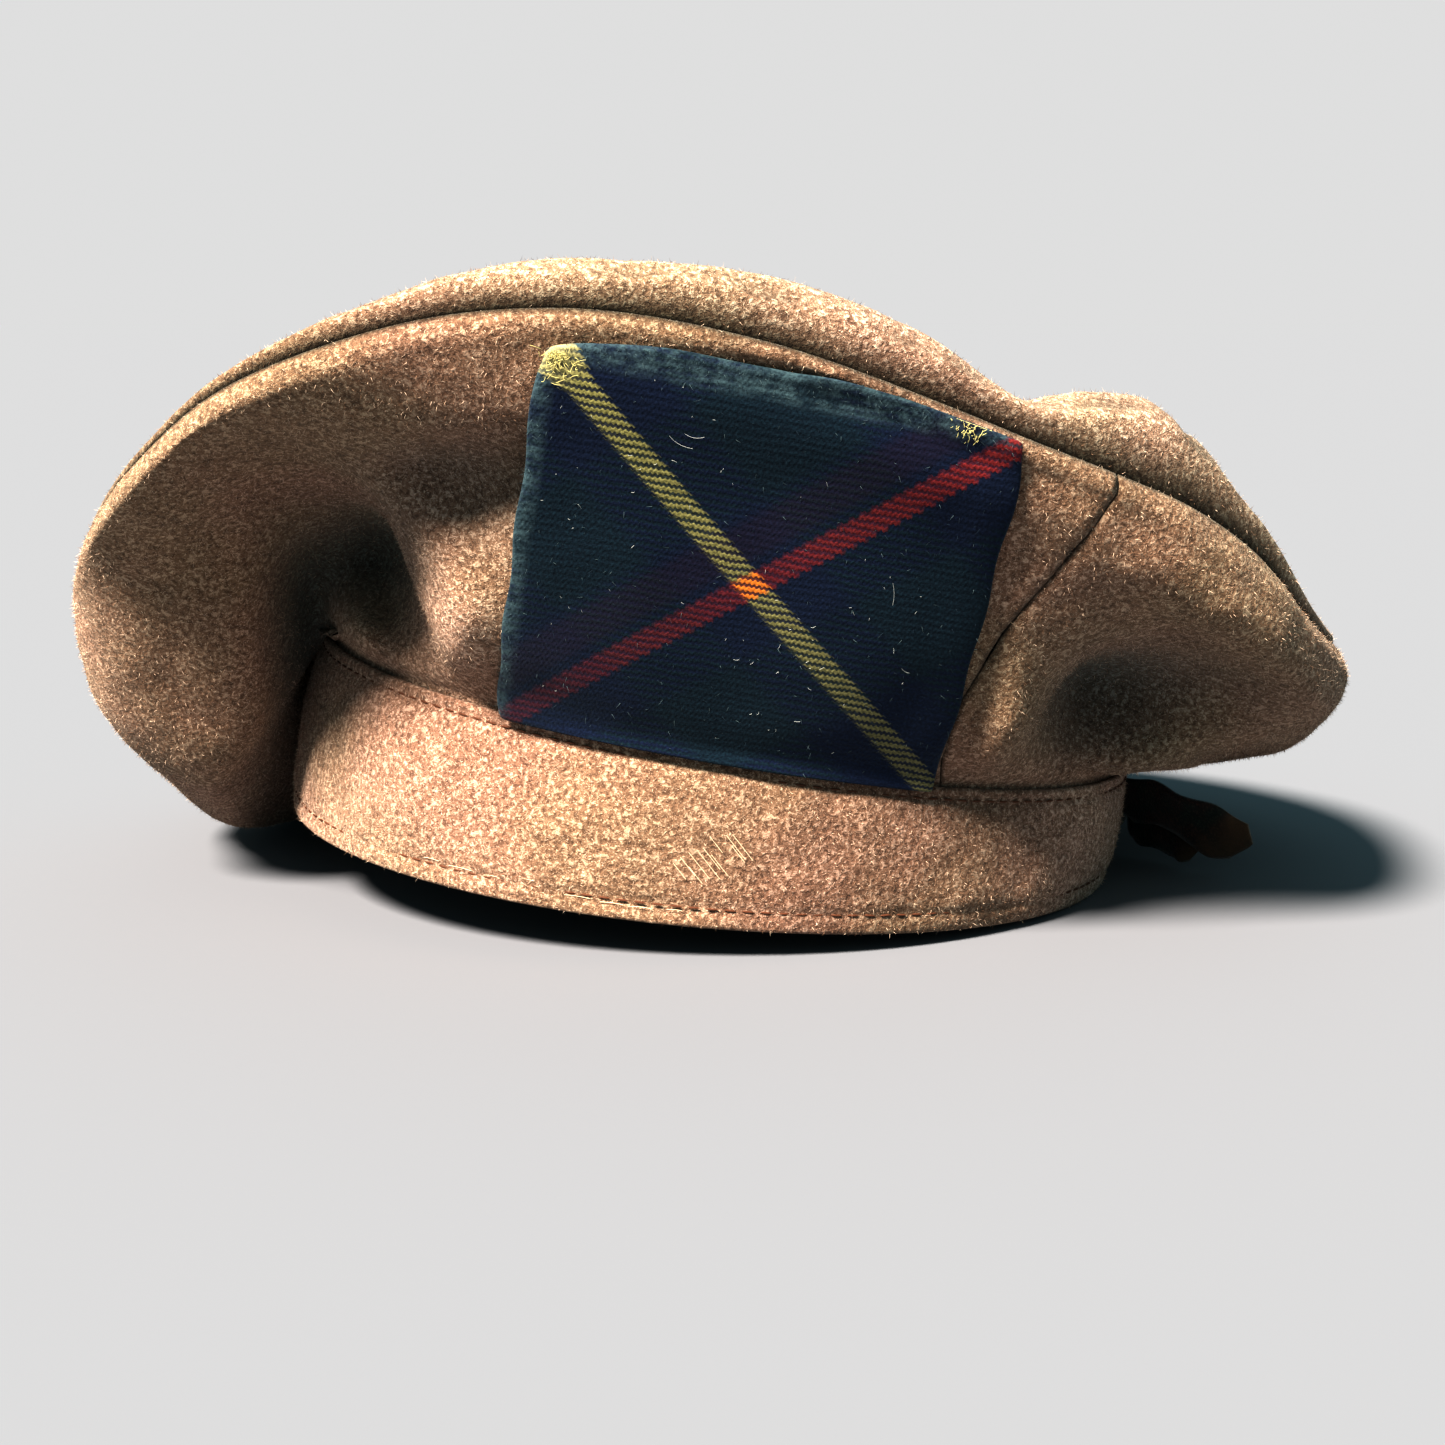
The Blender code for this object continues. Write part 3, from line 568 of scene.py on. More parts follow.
def curve_through(points, place):
    """The smooth curve through points (..., k, 3), at a place of 0 to 1 along its chords."""
    count = points.shape[-2]
    lengths = np.linalg.norm(np.diff(points, axis=-2), axis=-1)
    marks = np.concatenate([np.zeros(lengths.shape[:-1] + (1,)), np.cumsum(lengths, -1)], -1)
    marks = marks / marks[..., -1:]
    rates = np.empty_like(points)
    rates[..., 1:-1, :] = (points[..., 2:, :] - points[..., :-2, :]) / (
        marks[..., 2:] - marks[..., :-2]
    )[..., None]
    ends = np.diff(points, axis=-2) / np.diff(marks, axis=-1)[..., None]
    rates[..., 0, :] = 1.5 * ends[..., 0, :] - 0.5 * rates[..., 1, :]
    rates[..., -1, :] = 1.5 * ends[..., -1, :] - 0.5 * rates[..., -2, :]
    place = np.broadcast_to(place, points.shape[:-2])
    i = np.clip((marks[..., 1:-1] <= place[..., None]).sum(-1), 0, count - 2)

    def mark(k):
        return np.take_along_axis(marks, (i + k)[..., None], -1)[..., 0]

    def row(table, k):
        return np.take_along_axis(table, (i + k)[..., None, None], -2)[..., 0, :]

    width = (mark(1) - mark(0))[..., None]
    s = ((place - mark(0)) / width[..., 0])[..., None]
    return hermite(s, row(points, 0), row(points, 1), width * row(rates, 0), width * row(rates, 1))


def band_length(turn):
    """How high the band stands, and how long its cloth is, from its lower edge to its top."""
    height = BAND_HEIGHT_BACK + (BAND_HEIGHT_FRONT - BAND_HEIGHT_BACK) * (1 - np.cos(turn)) / 2
    return height, np.hypot(height, BAND_LEAN_BACK)


def band_point(turn, rise, inward, from_top=False):
    """A point of the band: rise up the cloth from its lower edge, or from its top edge, and
    inward from its outer face. turn is the oval's own angle."""
    turn = np.asarray(turn, float)
    across = np.stack([np.cos(turn) / BAND_HALF_LENGTH, np.sin(turn) / BAND_HALF_WIDTH], -1)
    across = across / np.linalg.norm(across, axis=-1, keepdims=True)
    x = BAND_HALF_LENGTH * np.cos(turn) - inward * across[..., 0]
    y = BAND_HALF_WIDTH * np.sin(turn) - inward * across[..., 1]
    low = np.radians(BAND_LOW_ANGLE)
    z = BAND_FRONT_LIFT / 2 * (
        1 - x / BAND_HALF_LENGTH * np.cos(low) - y / BAND_HALF_WIDTH * np.sin(low)
    )
    height, length = band_length(turn)
    share = (length + rise if from_top else rise) / length
    drawn_in = BAND_TAPER * share - BAND_SWELL * 4 * share * (1 - share)
    x = x + BAND_LEAN_BACK * share - drawn_in * across[..., 0]
    y = y - drawn_in * across[..., 1]
    return np.stack([x, y, z + height * share], -1)


def crown_angle(turn):
    """The crown's angle over a place of the band, given by the oval's own angle."""
    top = band_point(turn, 0.0, 0.0, from_top=True)
    return np.degrees(np.arctan2(top[..., 1], top[..., 0]))


def polar(angle, radius, z):
    """Points at angles in degrees round the middle."""
    a = np.radians(angle)
    return np.stack(np.broadcast_arrays(radius * np.cos(a), radius * np.sin(a), z), -1)


def seam_frame(turn):
    """The rim seam's point, the way the sewn edges turn in, and the way across the seam."""
    angle = crown_angle(turn)
    slope = np.radians(TURN_IN_SLOPE)
    seam = polar(angle, round_value(angle, "seam_r"), round_value(angle, "seam_z"))
    inward = polar(angle, -np.cos(slope), -np.sin(slope))
    across = polar(angle, -np.sin(slope), np.cos(slope))
    return seam, inward, across


def side_plain(turn, place):
    """The side panels' outer face before its folds and hollows, from band to rim."""
    turn, place = np.broadcast_arrays(np.asarray(turn, float), np.asarray(place, float))
    angle = crown_angle(turn)
    edge = band_point(turn, 0.0, 0.0, from_top=True)
    edge_r = np.hypot(edge[..., 0], edge[..., 1])
    seam, _, across = seam_frame(turn)
    outward = polar(angle, 1.0, 0.0)
    up = np.array((0.0, 0.0, 1.0))
    tucked = band_point(turn, 0.5, BAND_LAYER + GAP, from_top=True)
    points = [
        tucked,
        polar(angle, edge_r + round_value(angle, "over"), edge[..., 2] + round_value(angle, "up")),
    ]
    for name in ("low", "mid", "high", "rim"):
        points.append(
            polar(angle, round_value(angle, name + "_r"), round_value(angle, name + "_z"))
        )
    points.append(seam + SIDE_ROLL_OUT * outward - SIDE_ROLL_UNDER * up)
    points.append(seam - GAP / 2 * across)
    return curve_through(np.stack(points, -2), place)


def near_spot(points, at_x, at_z, front, back, below, above):
    """1 at the middle of a spot of the near side, falling to 0 as far as it spreads each way."""
    x, y, z = points[..., 0], points[..., 1], points[..., 2]
    across = (x - at_x) / np.where(x < at_x, front, back)
    up = (z - at_z) / np.where(z < at_z, below, above)
    spot = np.exp(-(across**2) - up**2)
    return spot * eased((POCKET_FADE_FROM - y) / POCKET_FADE_OVER)


def pocket(points):
    """How far points of the plain side panel sink in towards +Y, in its hollows and pleats."""
    depth = 0.0
    for *where, deep in POCKET_ROWS:
        depth = depth + deep * near_spot(points, *where)
    return depth


def seam_stray(place):
    """How many degrees round the near panel seam lies from its own angle."""
    return np.interp(place, np.linspace(0, 1, len(NEAR_SEAM_STRAY)), NEAR_SEAM_STRAY)


def side_fold(angle, place, seam_share):
    """How far the side's folds stand out, and how far its panel seams lie in."""
    height = np.zeros(np.broadcast(angle, place).shape)
    for at, middle, lean, half_angle, half_place, tall in SIDE_FOLD_ROWS:
        off = off_angle(angle - at - lean * (place - middle))
        height = height + tall * np.exp(
            -((off / half_angle) ** 2) - ((place - middle) / half_place) ** 2
        )
    fade = ramped(place, FOLD_FADE_LOW) * ramped(1 - place, FOLD_FADE_HIGH)
    deeper = eased((place - PANEL_SEAM_DEEPER_FROM) / PANEL_SEAM_DEEPER_OVER)
    dip = PANEL_SEAM_DIP * (PANEL_SEAM_LOW_SHARE + (1 - PANEL_SEAM_LOW_SHARE) * deeper)
    for at in (PANEL_SEAM_NEAR + seam_stray(place), PANEL_SEAM_FAR):
        off = np.abs(off_angle(angle - at))
        height = height - seam_share * dip * np.clip(1 - off / PANEL_SEAM_HALF_ANGLE, 0, 1) ** 2
    return height * fade


def side_point(turn, place, hollow=1.0):
    """The outer face of the side panels, 0 at the band's top edge to 1 at the rim seam; hollow
    is the share to include of the depth of the pocket and of the panel seams."""
    turn, place = np.broadcast_arrays(np.asarray(turn, float), np.asarray(place, float))
    here = side_plain(turn, place)
    step = 0.004
    low = np.clip(place - step, 0, 1)
    along = side_plain(turn, np.clip(place + step, 0, 1)) - side_plain(turn, low)
    round_ = side_plain(turn + step, place) - side_plain(turn - step, place)
    out = np.cross(round_, along)
    out = out / np.linalg.norm(out, axis=-1, keepdims=True)
    here = here + out * side_fold(crown_angle(turn), place, hollow)[..., None]
    here[..., 1] += hollow * side_hollow(here, place)
    return here


def side_hollow(points, place):
    """The pocket's depth, fading to none at the band and at the rim."""
    return pocket(points) * eased(place / HOLLOW_FADE_LOW) * eased((1 - place) / HOLLOW_FADE_HIGH)


def top_height(x, y, share, angle):
    """How high the top lies; share is 0 at its middle and 1 at the rim seam."""
    rim = round_value(angle, "seam_z")
    half = round_value(angle, "top_z")
    a = np.radians(angle)
    plane = -TOP_RISE_TO_LEFT * np.sin(a) - TOP_RISE_TO_FRONT * np.cos(a)
    h = TOP_HALF_WAY
    at_rim = rim - TOP_CENTRE - plane
    at_half = half - TOP_CENTRE - plane * h
    fifth = (at_half - at_rim * h**3) / (h**5 - h**3)
    third = at_rim - fifth
    z = TOP_CENTRE + plane * share + third * share**3 + fifth * share**5
    for fx, fy, half_long, half_wide, turned, tall in TOP_FOLD_ROWS:
        c, s = np.cos(np.radians(turned)), np.sin(np.radians(turned))
        u, v = (x - fx) * c + (y - fy) * s, (y - fy) * c - (x - fx) * s
        z = z + tall * np.exp(-((u / half_long) ** 2) - (v / half_wide) ** 2) * (1 - share**6)
    return z


def overhang(angle, inset):
    """How far the top's rolled edge hangs out over the rim seam."""
    out = 0.0
    for at, half_angle, far in OVERHANG_ROWS:
        out = out + far * hump(off_angle(angle - at), half_angle)
    fade = eased((OVERHANG_END_INSET - inset) / OVERHANG_FADE)
    return out * eased(inset / OVERHANG_FULL_INSET) * fade


def rim_crease(angle, inset):
    """How high the small creases beside the rim stand; below 0 they lie in."""
    height = 0.0
    for at, deep, half_angle, half_inset, tall in RIM_CREASE_ROWS:
        off = off_angle(angle - at)
        height = height + tall * np.exp(
            -((off / half_angle) ** 2) - ((inset - deep) / half_inset) ** 2
        )
    return height * eased(inset / RIM_CREASE_FULL_INSET)


def top_point(turn, inset):
    """The outer face of the top, inset from the rim seam towards the middle."""
    angle = crown_angle(turn)
    _, _, across = seam_frame(turn)
    seam_r = round_value(angle, "seam_r")
    share = np.clip(1 - inset / seam_r, 0, 1)
    near = ramped(inset, PUFF_WIDTH)
    puff = round_value(angle, "puff") * PUFF_SCALE * np.sqrt(near) * (1 - near) ** 2
    swell = RIM_SWELL * ramped(inset, RIM_SWELL_FULL) * np.clip(1 - inset / RIM_SWELL_END, 0, 1)
    flat = polar(angle, seam_r * share + swell + overhang(angle, inset), 0.0)
    flat[..., 2] = top_height(flat[..., 0], flat[..., 1], share, angle) + puff
    flat[..., 2] += rim_crease(angle, inset)
    edge = GAP / 2 * across * np.clip(1 - inset / RIM_GAP_END, 0, 1)[..., None]
    return flat + edge


def patch_point(across, down):
    """The patch's under face and its normal: its plane square laid on the side panel below,
    bridging the pocket's hollows."""
    across, down = np.broadcast_arrays(np.asarray(across, float), np.asarray(down, float))
    tl, tr, br, bl = np.array(PATCH_CORNERS)
    a, d = across[..., None], down[..., None]
    goal = (tl * (1 - a) + tr * a) * (1 - d) + (bl * (1 - a) + br * a) * d
    goal = goal + (tl - bl) / PATCH_SIDE * PATCH_TOP_BOW * 4 * a * (1 - a) * (1 - d)
    right = (tr - tl) / np.linalg.norm(tr - tl)
    out = np.cross(right, tl - bl)
    out = -out / np.linalg.norm(out)
    if out[1] > 0:
        out = -out
    low = np.cross(out, right)
    turn = np.radians(PATCH_ANGLE_LEFT + (PATCH_ANGLE_RIGHT - PATCH_ANGLE_LEFT) * across)
    place = PATCH_HIGHEST_PLACE - (PATCH_HIGHEST_PLACE - PATCH_LOWEST_PLACE) * down
    step = 1e-4
    for _ in range(PATCH_TRIES):
        here = side_point(turn, place, 0.0)
        by_turn = (side_point(turn + step, place, 0.0) - here) / step
        by_place = (side_point(turn, place + step, 0.0) - here) / step
        miss = goal - here
        m00, m01 = by_turn @ right, by_place @ right
        m10, m11 = by_turn @ low, by_place @ low
        b0, b1 = miss @ right, miss @ low
        det = m00 * m11 - m01 * m10
        turn = turn + np.clip((b0 * m11 - m01 * b1) / det, -0.1, 0.1)
        place = place + np.clip((m00 * b1 - m10 * b0) / det, -0.1, 0.1)
        place = np.clip(place, PATCH_LOWEST_PLACE, PATCH_HIGHEST_PLACE)
    here = side_point(turn, place, 0.0)
    by_turn = side_point(turn + step, place, 0.0) - here
    by_place = side_point(turn, place + step, 0.0) - here
    normal = np.cross(by_turn, by_place)
    normal = normal / np.linalg.norm(normal, axis=-1, keepdims=True)
    return here + normal * PATCH_GAP, normal


# Shader nodes ------------------------------------------------------------------------------


class Tree:
    """A few short calls for building a node tree."""

    def __init__(self, tree):
        self.tree = tree

    def add(self, kind, settings=None, **inputs):
        node = self.tree.nodes.new(kind)
        for name, value in (settings or {}).items():
            setattr(node, name, value)
        for name, value in inputs.items():
            self.put(node, name.replace("_", " "), value)
        return node

    def put(self, node, name, value):
        socket = node.inputs[int(name) if name.isdigit() else name]
        if isinstance(value, bpy.types.NodeSocket):
            self.tree.links.new(value, socket)
        else:
            socket.default_value = value

    def math(self, operation, *values, clamp=False):
        node = self.tree.nodes.new("ShaderNodeMath")
        node.operation = operation
        node.use_clamp = clamp
        for k, value in enumerate(values):
            self.put(node, str(k), value)
        return node.outputs[0]

    def mix(self, share, first, second, blend="MIX"):
        node = self.tree.nodes.new("ShaderNodeMix")
        node.data_type = "RGBA"
        node.blend_type = blend
        for k, value in ((0, share), (6, first), (7, second)):
            self.put(node, str(k), value)
        return node.outputs[2]

    def ramp(self, value, stops, smooth=True):
        """A colour ramp; stops are (place, brightness) or (place, colour)."""
        node = self.tree.nodes.new("ShaderNodeValToRGB")
        self.tree.links.new(value, node.inputs[0])
        ramp = node.color_ramp
        ramp.interpolation = "EASE" if smooth else "LINEAR"
        while len(ramp.elements) < len(stops):
            ramp.elements.new(0.5)
        for element, (place, colour) in zip(ramp.elements, stops):
            element.position = place
            element.color = (*colour, 1) if isinstance(colour, tuple) else (colour,) * 3 + (1,)
        return node.outputs[0]

    def noise(self, where, scale, detail=2.0, rough=0.5, distortion=0.0):
        node = self.add("ShaderNodeTexNoise")
        self.put(node, "Vector", where)
        for name, value in (("Scale", scale), ("Detail", detail), ("Roughness", rough),
                            ("Distortion", distortion)):
            self.put(node, name, value)
        return node.outputs["Fac"]


def group(name, inputs, outputs):
    """An empty shader group; inputs are (name, socket type, default)."""
    tree = bpy.data.node_groups.new(name, "ShaderNodeTree")
    for label, kind, value in inputs:
        socket = tree.interface.new_socket(label, in_out="INPUT", socket_type=kind)
        if value is not None:
            socket.default_value = value
    for label, kind in outputs:
        tree.interface.new_socket(label, in_out="OUTPUT", socket_type=kind)
    return tree, tree.nodes.new("NodeGroupInput"), tree.nodes.new("NodeGroupOutput")


def wool_group():
    """Heathered, fulled wool: brown mixed with cream and dark hairs, and how high they lie."""
    tree, given, out = group(
        "fulled_wool",
        (("Where", "NodeSocketVector", None), ("Base", "NodeSocketColor", (0.3, 0.16, 0.08, 1)),
         ("Pale", "NodeSocketColor", (0.62, 0.44, 0.27, 1)),
         ("Dark", "NodeSocketColor", (0.10, 0.055, 0.03, 1)),
         ("Grain", "NodeSocketFloat", 800.0)),
        (("Color", "NodeSocketColor"), ("Roughness", "NodeSocketFloat"),
         ("Height", "NodeSocketFloat")),
    )
    t = Tree(tree)
    where = given.outputs["Where"]
    grain = given.outputs["Grain"]
    clump = t.noise(where, grain, 2.5, 0.6, 0.4)
    hair = t.noise(where, t.math("MULTIPLY", grain, 2.7), 2.0, 0.55, 1.2)
    blotch = t.noise(where, t.math("MULTIPLY", grain, 0.14), 3.0, 0.6)
    drift = t.noise(where, 22.0, 2.0, 0.5)
    colour = given.outputs["Base"]
    for fibres, stops, share, tone in (
        (clump, ((0.36, 1.0), (0.47, 0.0)), 0.62, "Dark"),
        (clump, ((0.52, 0.0), (0.64, 1.0)), 0.40, "Pale"),
        (hair, ((0.57, 0.0), (0.66, 1.0)), 0.55, "Pale"),
        (hair, ((0.32, 1.0), (0.42, 0.0)), 0.50, "Dark"),
    ):
        amount = t.math("MULTIPLY", t.ramp(fibres, stops), share)
        colour = t.mix(amount, colour, given.outputs[tone])
    shade = t.ramp(blotch, ((0.3, 0.90), (0.7, 1.06)))
    colour = t.mix(1.0, colour, shade, "MULTIPLY")
    olive = t.ramp(drift, ((0.35, (0.95, 1.0, 0.93)), (0.65, (1.03, 0.99, 1.0))))
    colour = t.mix(1.0, colour, olive, "MULTIPLY")
    height = t.math("ADD", t.math("MULTIPLY", clump, 0.65), t.math("MULTIPLY", hair, 0.35))
    rough = t.math("MULTIPLY_ADD", hair, 0.12, 0.86)
    t.put(out, "Color", colour)
    t.put(out, "Roughness", rough)
    t.put(out, "Height", height)
    return tree


def new_material(name, sheen=0.0, sheen_rough=0.5, sheen_tint=(1, 1, 1, 1), specular=0.25):
    material = bpy.data.materials.new(name)
    material.use_nodes = True
    t = Tree(material.node_tree)
    shader = material.node_tree.nodes["Principled BSDF"]
    shader.inputs["Sheen Weight"].default_value = sheen
    shader.inputs["Sheen Roughness"].default_value = sheen_rough
    shader.inputs["Sheen Tint"].default_value = sheen_tint
    shader.inputs["Specular IOR Level"].default_value = specular
    return material, t, shader


def bump(t, height, strength, distance):
    """The normal of a surface whose height is given as a share of distance, in mm."""
    node = t.add("ShaderNodeBump", Strength=strength, Distance=distance * MM)
    t.put(node, "Height", height)
    return node.outputs["Normal"]


def wool_finish(name, wool, colours):
    """The wool in its own colours, with painted light and painted shade multiplied in where its
    stored shares say.
    """
    material, t, shader = new_material(
        name, sheen=0.15, sheen_rough=0.4, sheen_tint=(1.0, 0.92, 0.78, 1), specular=0.12
    )
    cloth = t.add("ShaderNodeGroup", {"node_tree": wool}, Grain=WOOL_GRAIN,
                  Where=t.add("ShaderNodeTexCoord").outputs["Object"])
    for label, colour in zip(("Base", "Pale", "Dark"), colours):
        t.put(cloth, label, (*colour, 1))
    colour = cloth.outputs["Color"]
    # Painted light, painted shade in the hollows and painted shade along seams and creases, each
    # multiplied into the colour by its stored share.
    for label, tint in ((PAINTED_LIGHT, PAINTED_LIGHT_TINT), (HOLLOW_SHADE, HOLLOW_SHADE_TINT),
                        (PAINTED_SHADE, PAINTED_SHADE_TINT)):
        share = t.add("ShaderNodeAttribute", {"attribute_name": label}).outputs["Fac"]
        colour = t.mix(1.0, colour, t.mix(share, NO_CHANGE, tint), "MULTIPLY")
    t.put(shader, "Base Color", colour)
    t.put(shader, "Roughness", cloth.outputs["Roughness"])
    t.put(shader, "Normal", bump(t, cloth.outputs["Height"], 0.9, WOOL_RELIEF))
    return material


def plain_finish(name, colour, rough):
    """One colour, for what is as thin as a hair."""
    material, _, shader = new_material(name, specular=0.2)
    shader.inputs["Base Color"].default_value = (*colour, 1)
    shader.inputs["Roughness"].default_value = rough
    return material


def twill_group():
    """The slanting ribs of a twill: how high the cloth lies, from its place in millimetres."""
    tree, given, out = group(
        "twill",
        (("Along", "NodeSocketFloat", 0.0), ("Across", "NodeSocketFloat", 0.0),
         ("Pitch", "NodeSocketFloat", 1.8), ("Wander", "NodeSocketFloat", 0.0)),
        (("Rib", "NodeSocketFloat"), ("Step", "NodeSocketFloat")),
    )
    t = Tree(tree)
    line = t.math("DIVIDE", given.outputs["Along"], given.outputs["Pitch"])
    line = t.math("ADD", line, given.outputs["Wander"])
    thread = t.math("SINE", t.math("MULTIPLY", given.outputs["Across"], 6.5))
    line = t.math("MULTIPLY_ADD", thread, 0.10, line)
    wave = t.math("SINE", t.math("MULTIPLY", line, 2 * np.pi))
    t.put(out, "Rib", t.math("MULTIPLY_ADD", wave, 0.5, 0.5))
    t.put(out, "Step", t.math("FRACT", line))
    return tree


def tartan_finish():
    """Dark navy and bottle green with one yellow and one red stripe, along the diagonals."""
    material, t, shader = new_material(
        "tartan", sheen=0.14, sheen_rough=0.4, sheen_tint=(0.6, 0.85, 0.9, 1), specular=0.10
    )
    cloth = t.add("ShaderNodeUVMap", {"uv_map": "cloth"}).outputs[0]
    parts = t.add("ShaderNodeSeparateXYZ", Vector=cloth)
    x = t.math("MULTIPLY", parts.outputs[0], 100.0)
    y = t.math("MULTIPLY", parts.outputs[1], 100.0)
    wander = t.math("MULTIPLY_ADD", t.noise(cloth, 14.0, 2.0), 0.9, -0.45)
    twill = t.add("ShaderNodeGroup", {"node_tree": twill_group()})
    for label, value in (("Along", y), ("Across", x), ("Pitch", TARTAN_TWILL_PITCH),
                         ("Wander", wander)):
        t.put(twill, label, value)
    rib, step = twill.outputs["Rib"], twill.outputs["Step"]
    half = float(np.sqrt(0.5))  # mm along a diagonal for each mm across or up
    jag = t.math("MULTIPLY_ADD", step, 1.1, -0.55)
    warp = t.math("MULTIPLY", t.math("SUBTRACT", t.math("ADD", x, y), PATCH_SIDE), half)
    weft = t.math("MULTIPLY", t.math("SUBTRACT", x, y), half)

    def stripe(place, middle, half_width, soft=0.35):
        off = t.math("ABSOLUTE", t.math("SUBTRACT", t.math("ADD", place, jag), middle))
        edge = t.math("SUBTRACT", half_width, off)
        return t.math("MULTIPLY_ADD", edge, 1 / (2 * soft), 0.5, clamp=True)

    green_warp = t.math("ADD", *(stripe(warp, *row) for row in GREEN_WARP_ROWS))
    green_weft = t.math("ADD", *(stripe(weft, *row) for row in GREEN_WEFT_ROWS))
    over = t.ramp(rib, ((0.35, 0.0), (0.65, 1.0)))
    green = t.math("MULTIPLY_ADD", t.math("SUBTRACT", green_warp, green_weft), over, green_weft)
    fleck = t.noise(cloth, 160.0, 3.0, 0.65)
    ground_flecks = t.ramp(fleck, ((0.35, 0.0), (0.72, 1.0)))
    stripe_flecks = t.ramp(fleck, ((0.3, 0.0), (0.75, 1.0)))
    colour = t.mix(green, t.mix(ground_flecks, *NAVY), t.mix(ground_flecks, *BOTTLE_GREEN))
    plum = t.math("MULTIPLY", stripe(weft, *PLUM_ROW), PLUM_SHARE)
    colour = t.mix(plum, colour, PLUM)
    dark_line = t.ramp(rib, ((0.28, 1.0), (0.52, 0.0)))
    over_red = stripe(weft, 0.0, RED_STRIPE / 2)
    red_line = t.math("MULTIPLY", over_red,
                      t.math("SUBTRACT", 1.0, t.math("MULTIPLY", dark_line, 0.60)))
    red_line = t.math("MULTIPLY", red_line, t.math("MULTIPLY_ADD", x, 0.0072, 0.30))
    colour = t.mix(red_line, colour, t.mix(stripe_flecks, *RED))
    to_corner = t.math("ADD", x, t.math("SUBTRACT", PATCH_SIDE, y))
    corner = t.math("SUBTRACT", 1.0, t.math("DIVIDE", to_corner, YELLOW_CORNER), clamp=True)
    yellow_half = t.math("MULTIPLY_ADD", corner, 2.8, YELLOW_STRIPE / 2)
    gap = t.math("MULTIPLY_ADD", corner, -0.6, 0.88)
    yellow_line = t.math("MULTIPLY", stripe(warp, 0.0, yellow_half),
                         t.math("SUBTRACT", 1.0, t.math("MULTIPLY", dark_line, gap)))
    yellow_line = t.math("MULTIPLY", yellow_line, t.math("MULTIPLY_ADD", x, -0.0058, 0.96))
    # Painted highlight on the yellow near the upper left corner.
    yellow = t.mix(corner, t.mix(stripe_flecks, *YELLOW), YELLOW_CORNER_HIGHLIGHT)
    yellow = t.mix(over_red, yellow, YELLOW_OVER_RED)
    colour = t.mix(yellow_line, colour, yellow)
    left = t.math("SUBTRACT", 1.0, t.math("DIVIDE", x, WORN_LEFT), clamp=True)
    from_top = t.math("SUBTRACT", PATCH_SIDE, y)
    upper = t.math("SUBTRACT", 1.0, t.math("DIVIDE", from_top, WORN_UPPER), clamp=True)
    patchy = t.ramp(t.noise(cloth, 26.0, 3.0, 0.7), ((0.36, 0.15), (0.62, 1.0)))
    worn = t.math("MULTIPLY", t.math("MAXIMUM", left, upper), patchy)
    worn = t.math("MULTIPLY", worn, t.math("MULTIPLY_ADD", fleck, 1.3, 0.1), clamp=True)
    plain = t.math("SUBTRACT", 1.0, t.math("MAXIMUM", yellow_line, red_line))
    colour = t.mix(t.math("MULTIPLY", worn, plain), colour, WORN_EDGE)
    t.put(shader, "Base Color", colour)
    t.put(shader, "Roughness", t.math("MULTIPLY_ADD", fleck, 0.15, 0.8))
    height = t.math("ADD", t.math("MULTIPLY", rib, 0.3), t.math("MULTIPLY", fleck, 0.7))
    t.put(shader, "Normal", bump(t, height, 0.8, 0.25))
    return material


def tape_finish():
    """Black cotton tape, woven in fine ribs, with a few rusty and olive hairs."""
    material, t, shader = new_material("tape", sheen=0.2, specular=0.2)
    where = t.add("ShaderNodeTexCoord").outputs["Object"]
    fine = t.noise(where, 1900.0, 2.0, 0.6)
    patchy = t.noise(where, 130.0, 2.0, 0.5)
    colour = t.mix(t.ramp(fine, ((0.45, 0.0), (0.72, 1.0))), *TAPE_RIBS)
    tint = t.ramp(patchy, ((0.40, (0.8, 1.35, 1.1)), (0.62, (2.1, 0.85, 0.75))))
    colour = t.mix(0.8, colour, tint, "MULTIPLY")
    along = t.add("ShaderNodeUVMap", {"uv_map": "cloth"}).outputs[0]
    along = t.add("ShaderNodeSeparateXYZ", Vector=along).outputs[0]
    frayed = t.math("ADD", along, t.math("MULTIPLY_ADD", patchy, 0.5, -0.25))
    colour = t.mix(t.ramp(frayed, ((0.72, 0.0), (1.0, 0.8))), colour, TAPE_END)
    t.put(shader, "Base Color", colour)
    t.put(shader, "Roughness", t.math("MULTIPLY_ADD", fine, 0.2, 0.7))
    t.put(shader, "Normal", bump(t, fine, 0.8, 0.25))
    return material


# Building meshes ---------------------------------------------------------------------------


def framed(points):
    """Table millimetres as the frame's metres."""
    return (np.asarray(points, float) - np.array(BASE_MIDDLE)) * MM


def linked(name, data):
    """A new object of the scene."""
    made = bpy.data.objects.new(name, data)
    bpy.context.scene.collection.objects.link(made)
    return made


def new_object(name, mesh, material):
    mesh.materials.append(material)
    return linked(name, mesh)


def surface(name, points, faces, material, values, uv=None):
    """A smooth open surface; values has each point's share, from 0 to 1, of what a stored
    name stands for, and uv its place on the flat cloth, in 100 mm."""
    mesh = bpy.data.meshes.new(name)
    mesh.from_pydata(framed(points), [], faces)
    mesh.shade_smooth()
    for label, value in values.items():
        stored = mesh.attributes.new(label, "FLOAT", "POINT")
        stored.data.foreach_set("value", np.asarray(value, float).ravel())
    if uv is not None:
        layer = mesh.uv_layers.new(name="cloth")
        corner = np.empty(len(mesh.loops), int)
        mesh.loops.foreach_get("vertex_index", corner)
        layer.data.foreach_set("uv", np.asarray(uv, float)[corner].ravel())
    return new_object(name, mesh, material)


def drawn_mesh(made):
    """A new mesh of the object as its modifiers or its curve's thickness draw it."""
    graph = bpy.context.evaluated_depsgraph_get()
    return bpy.data.meshes.new_from_object(made.evaluated_get(graph))


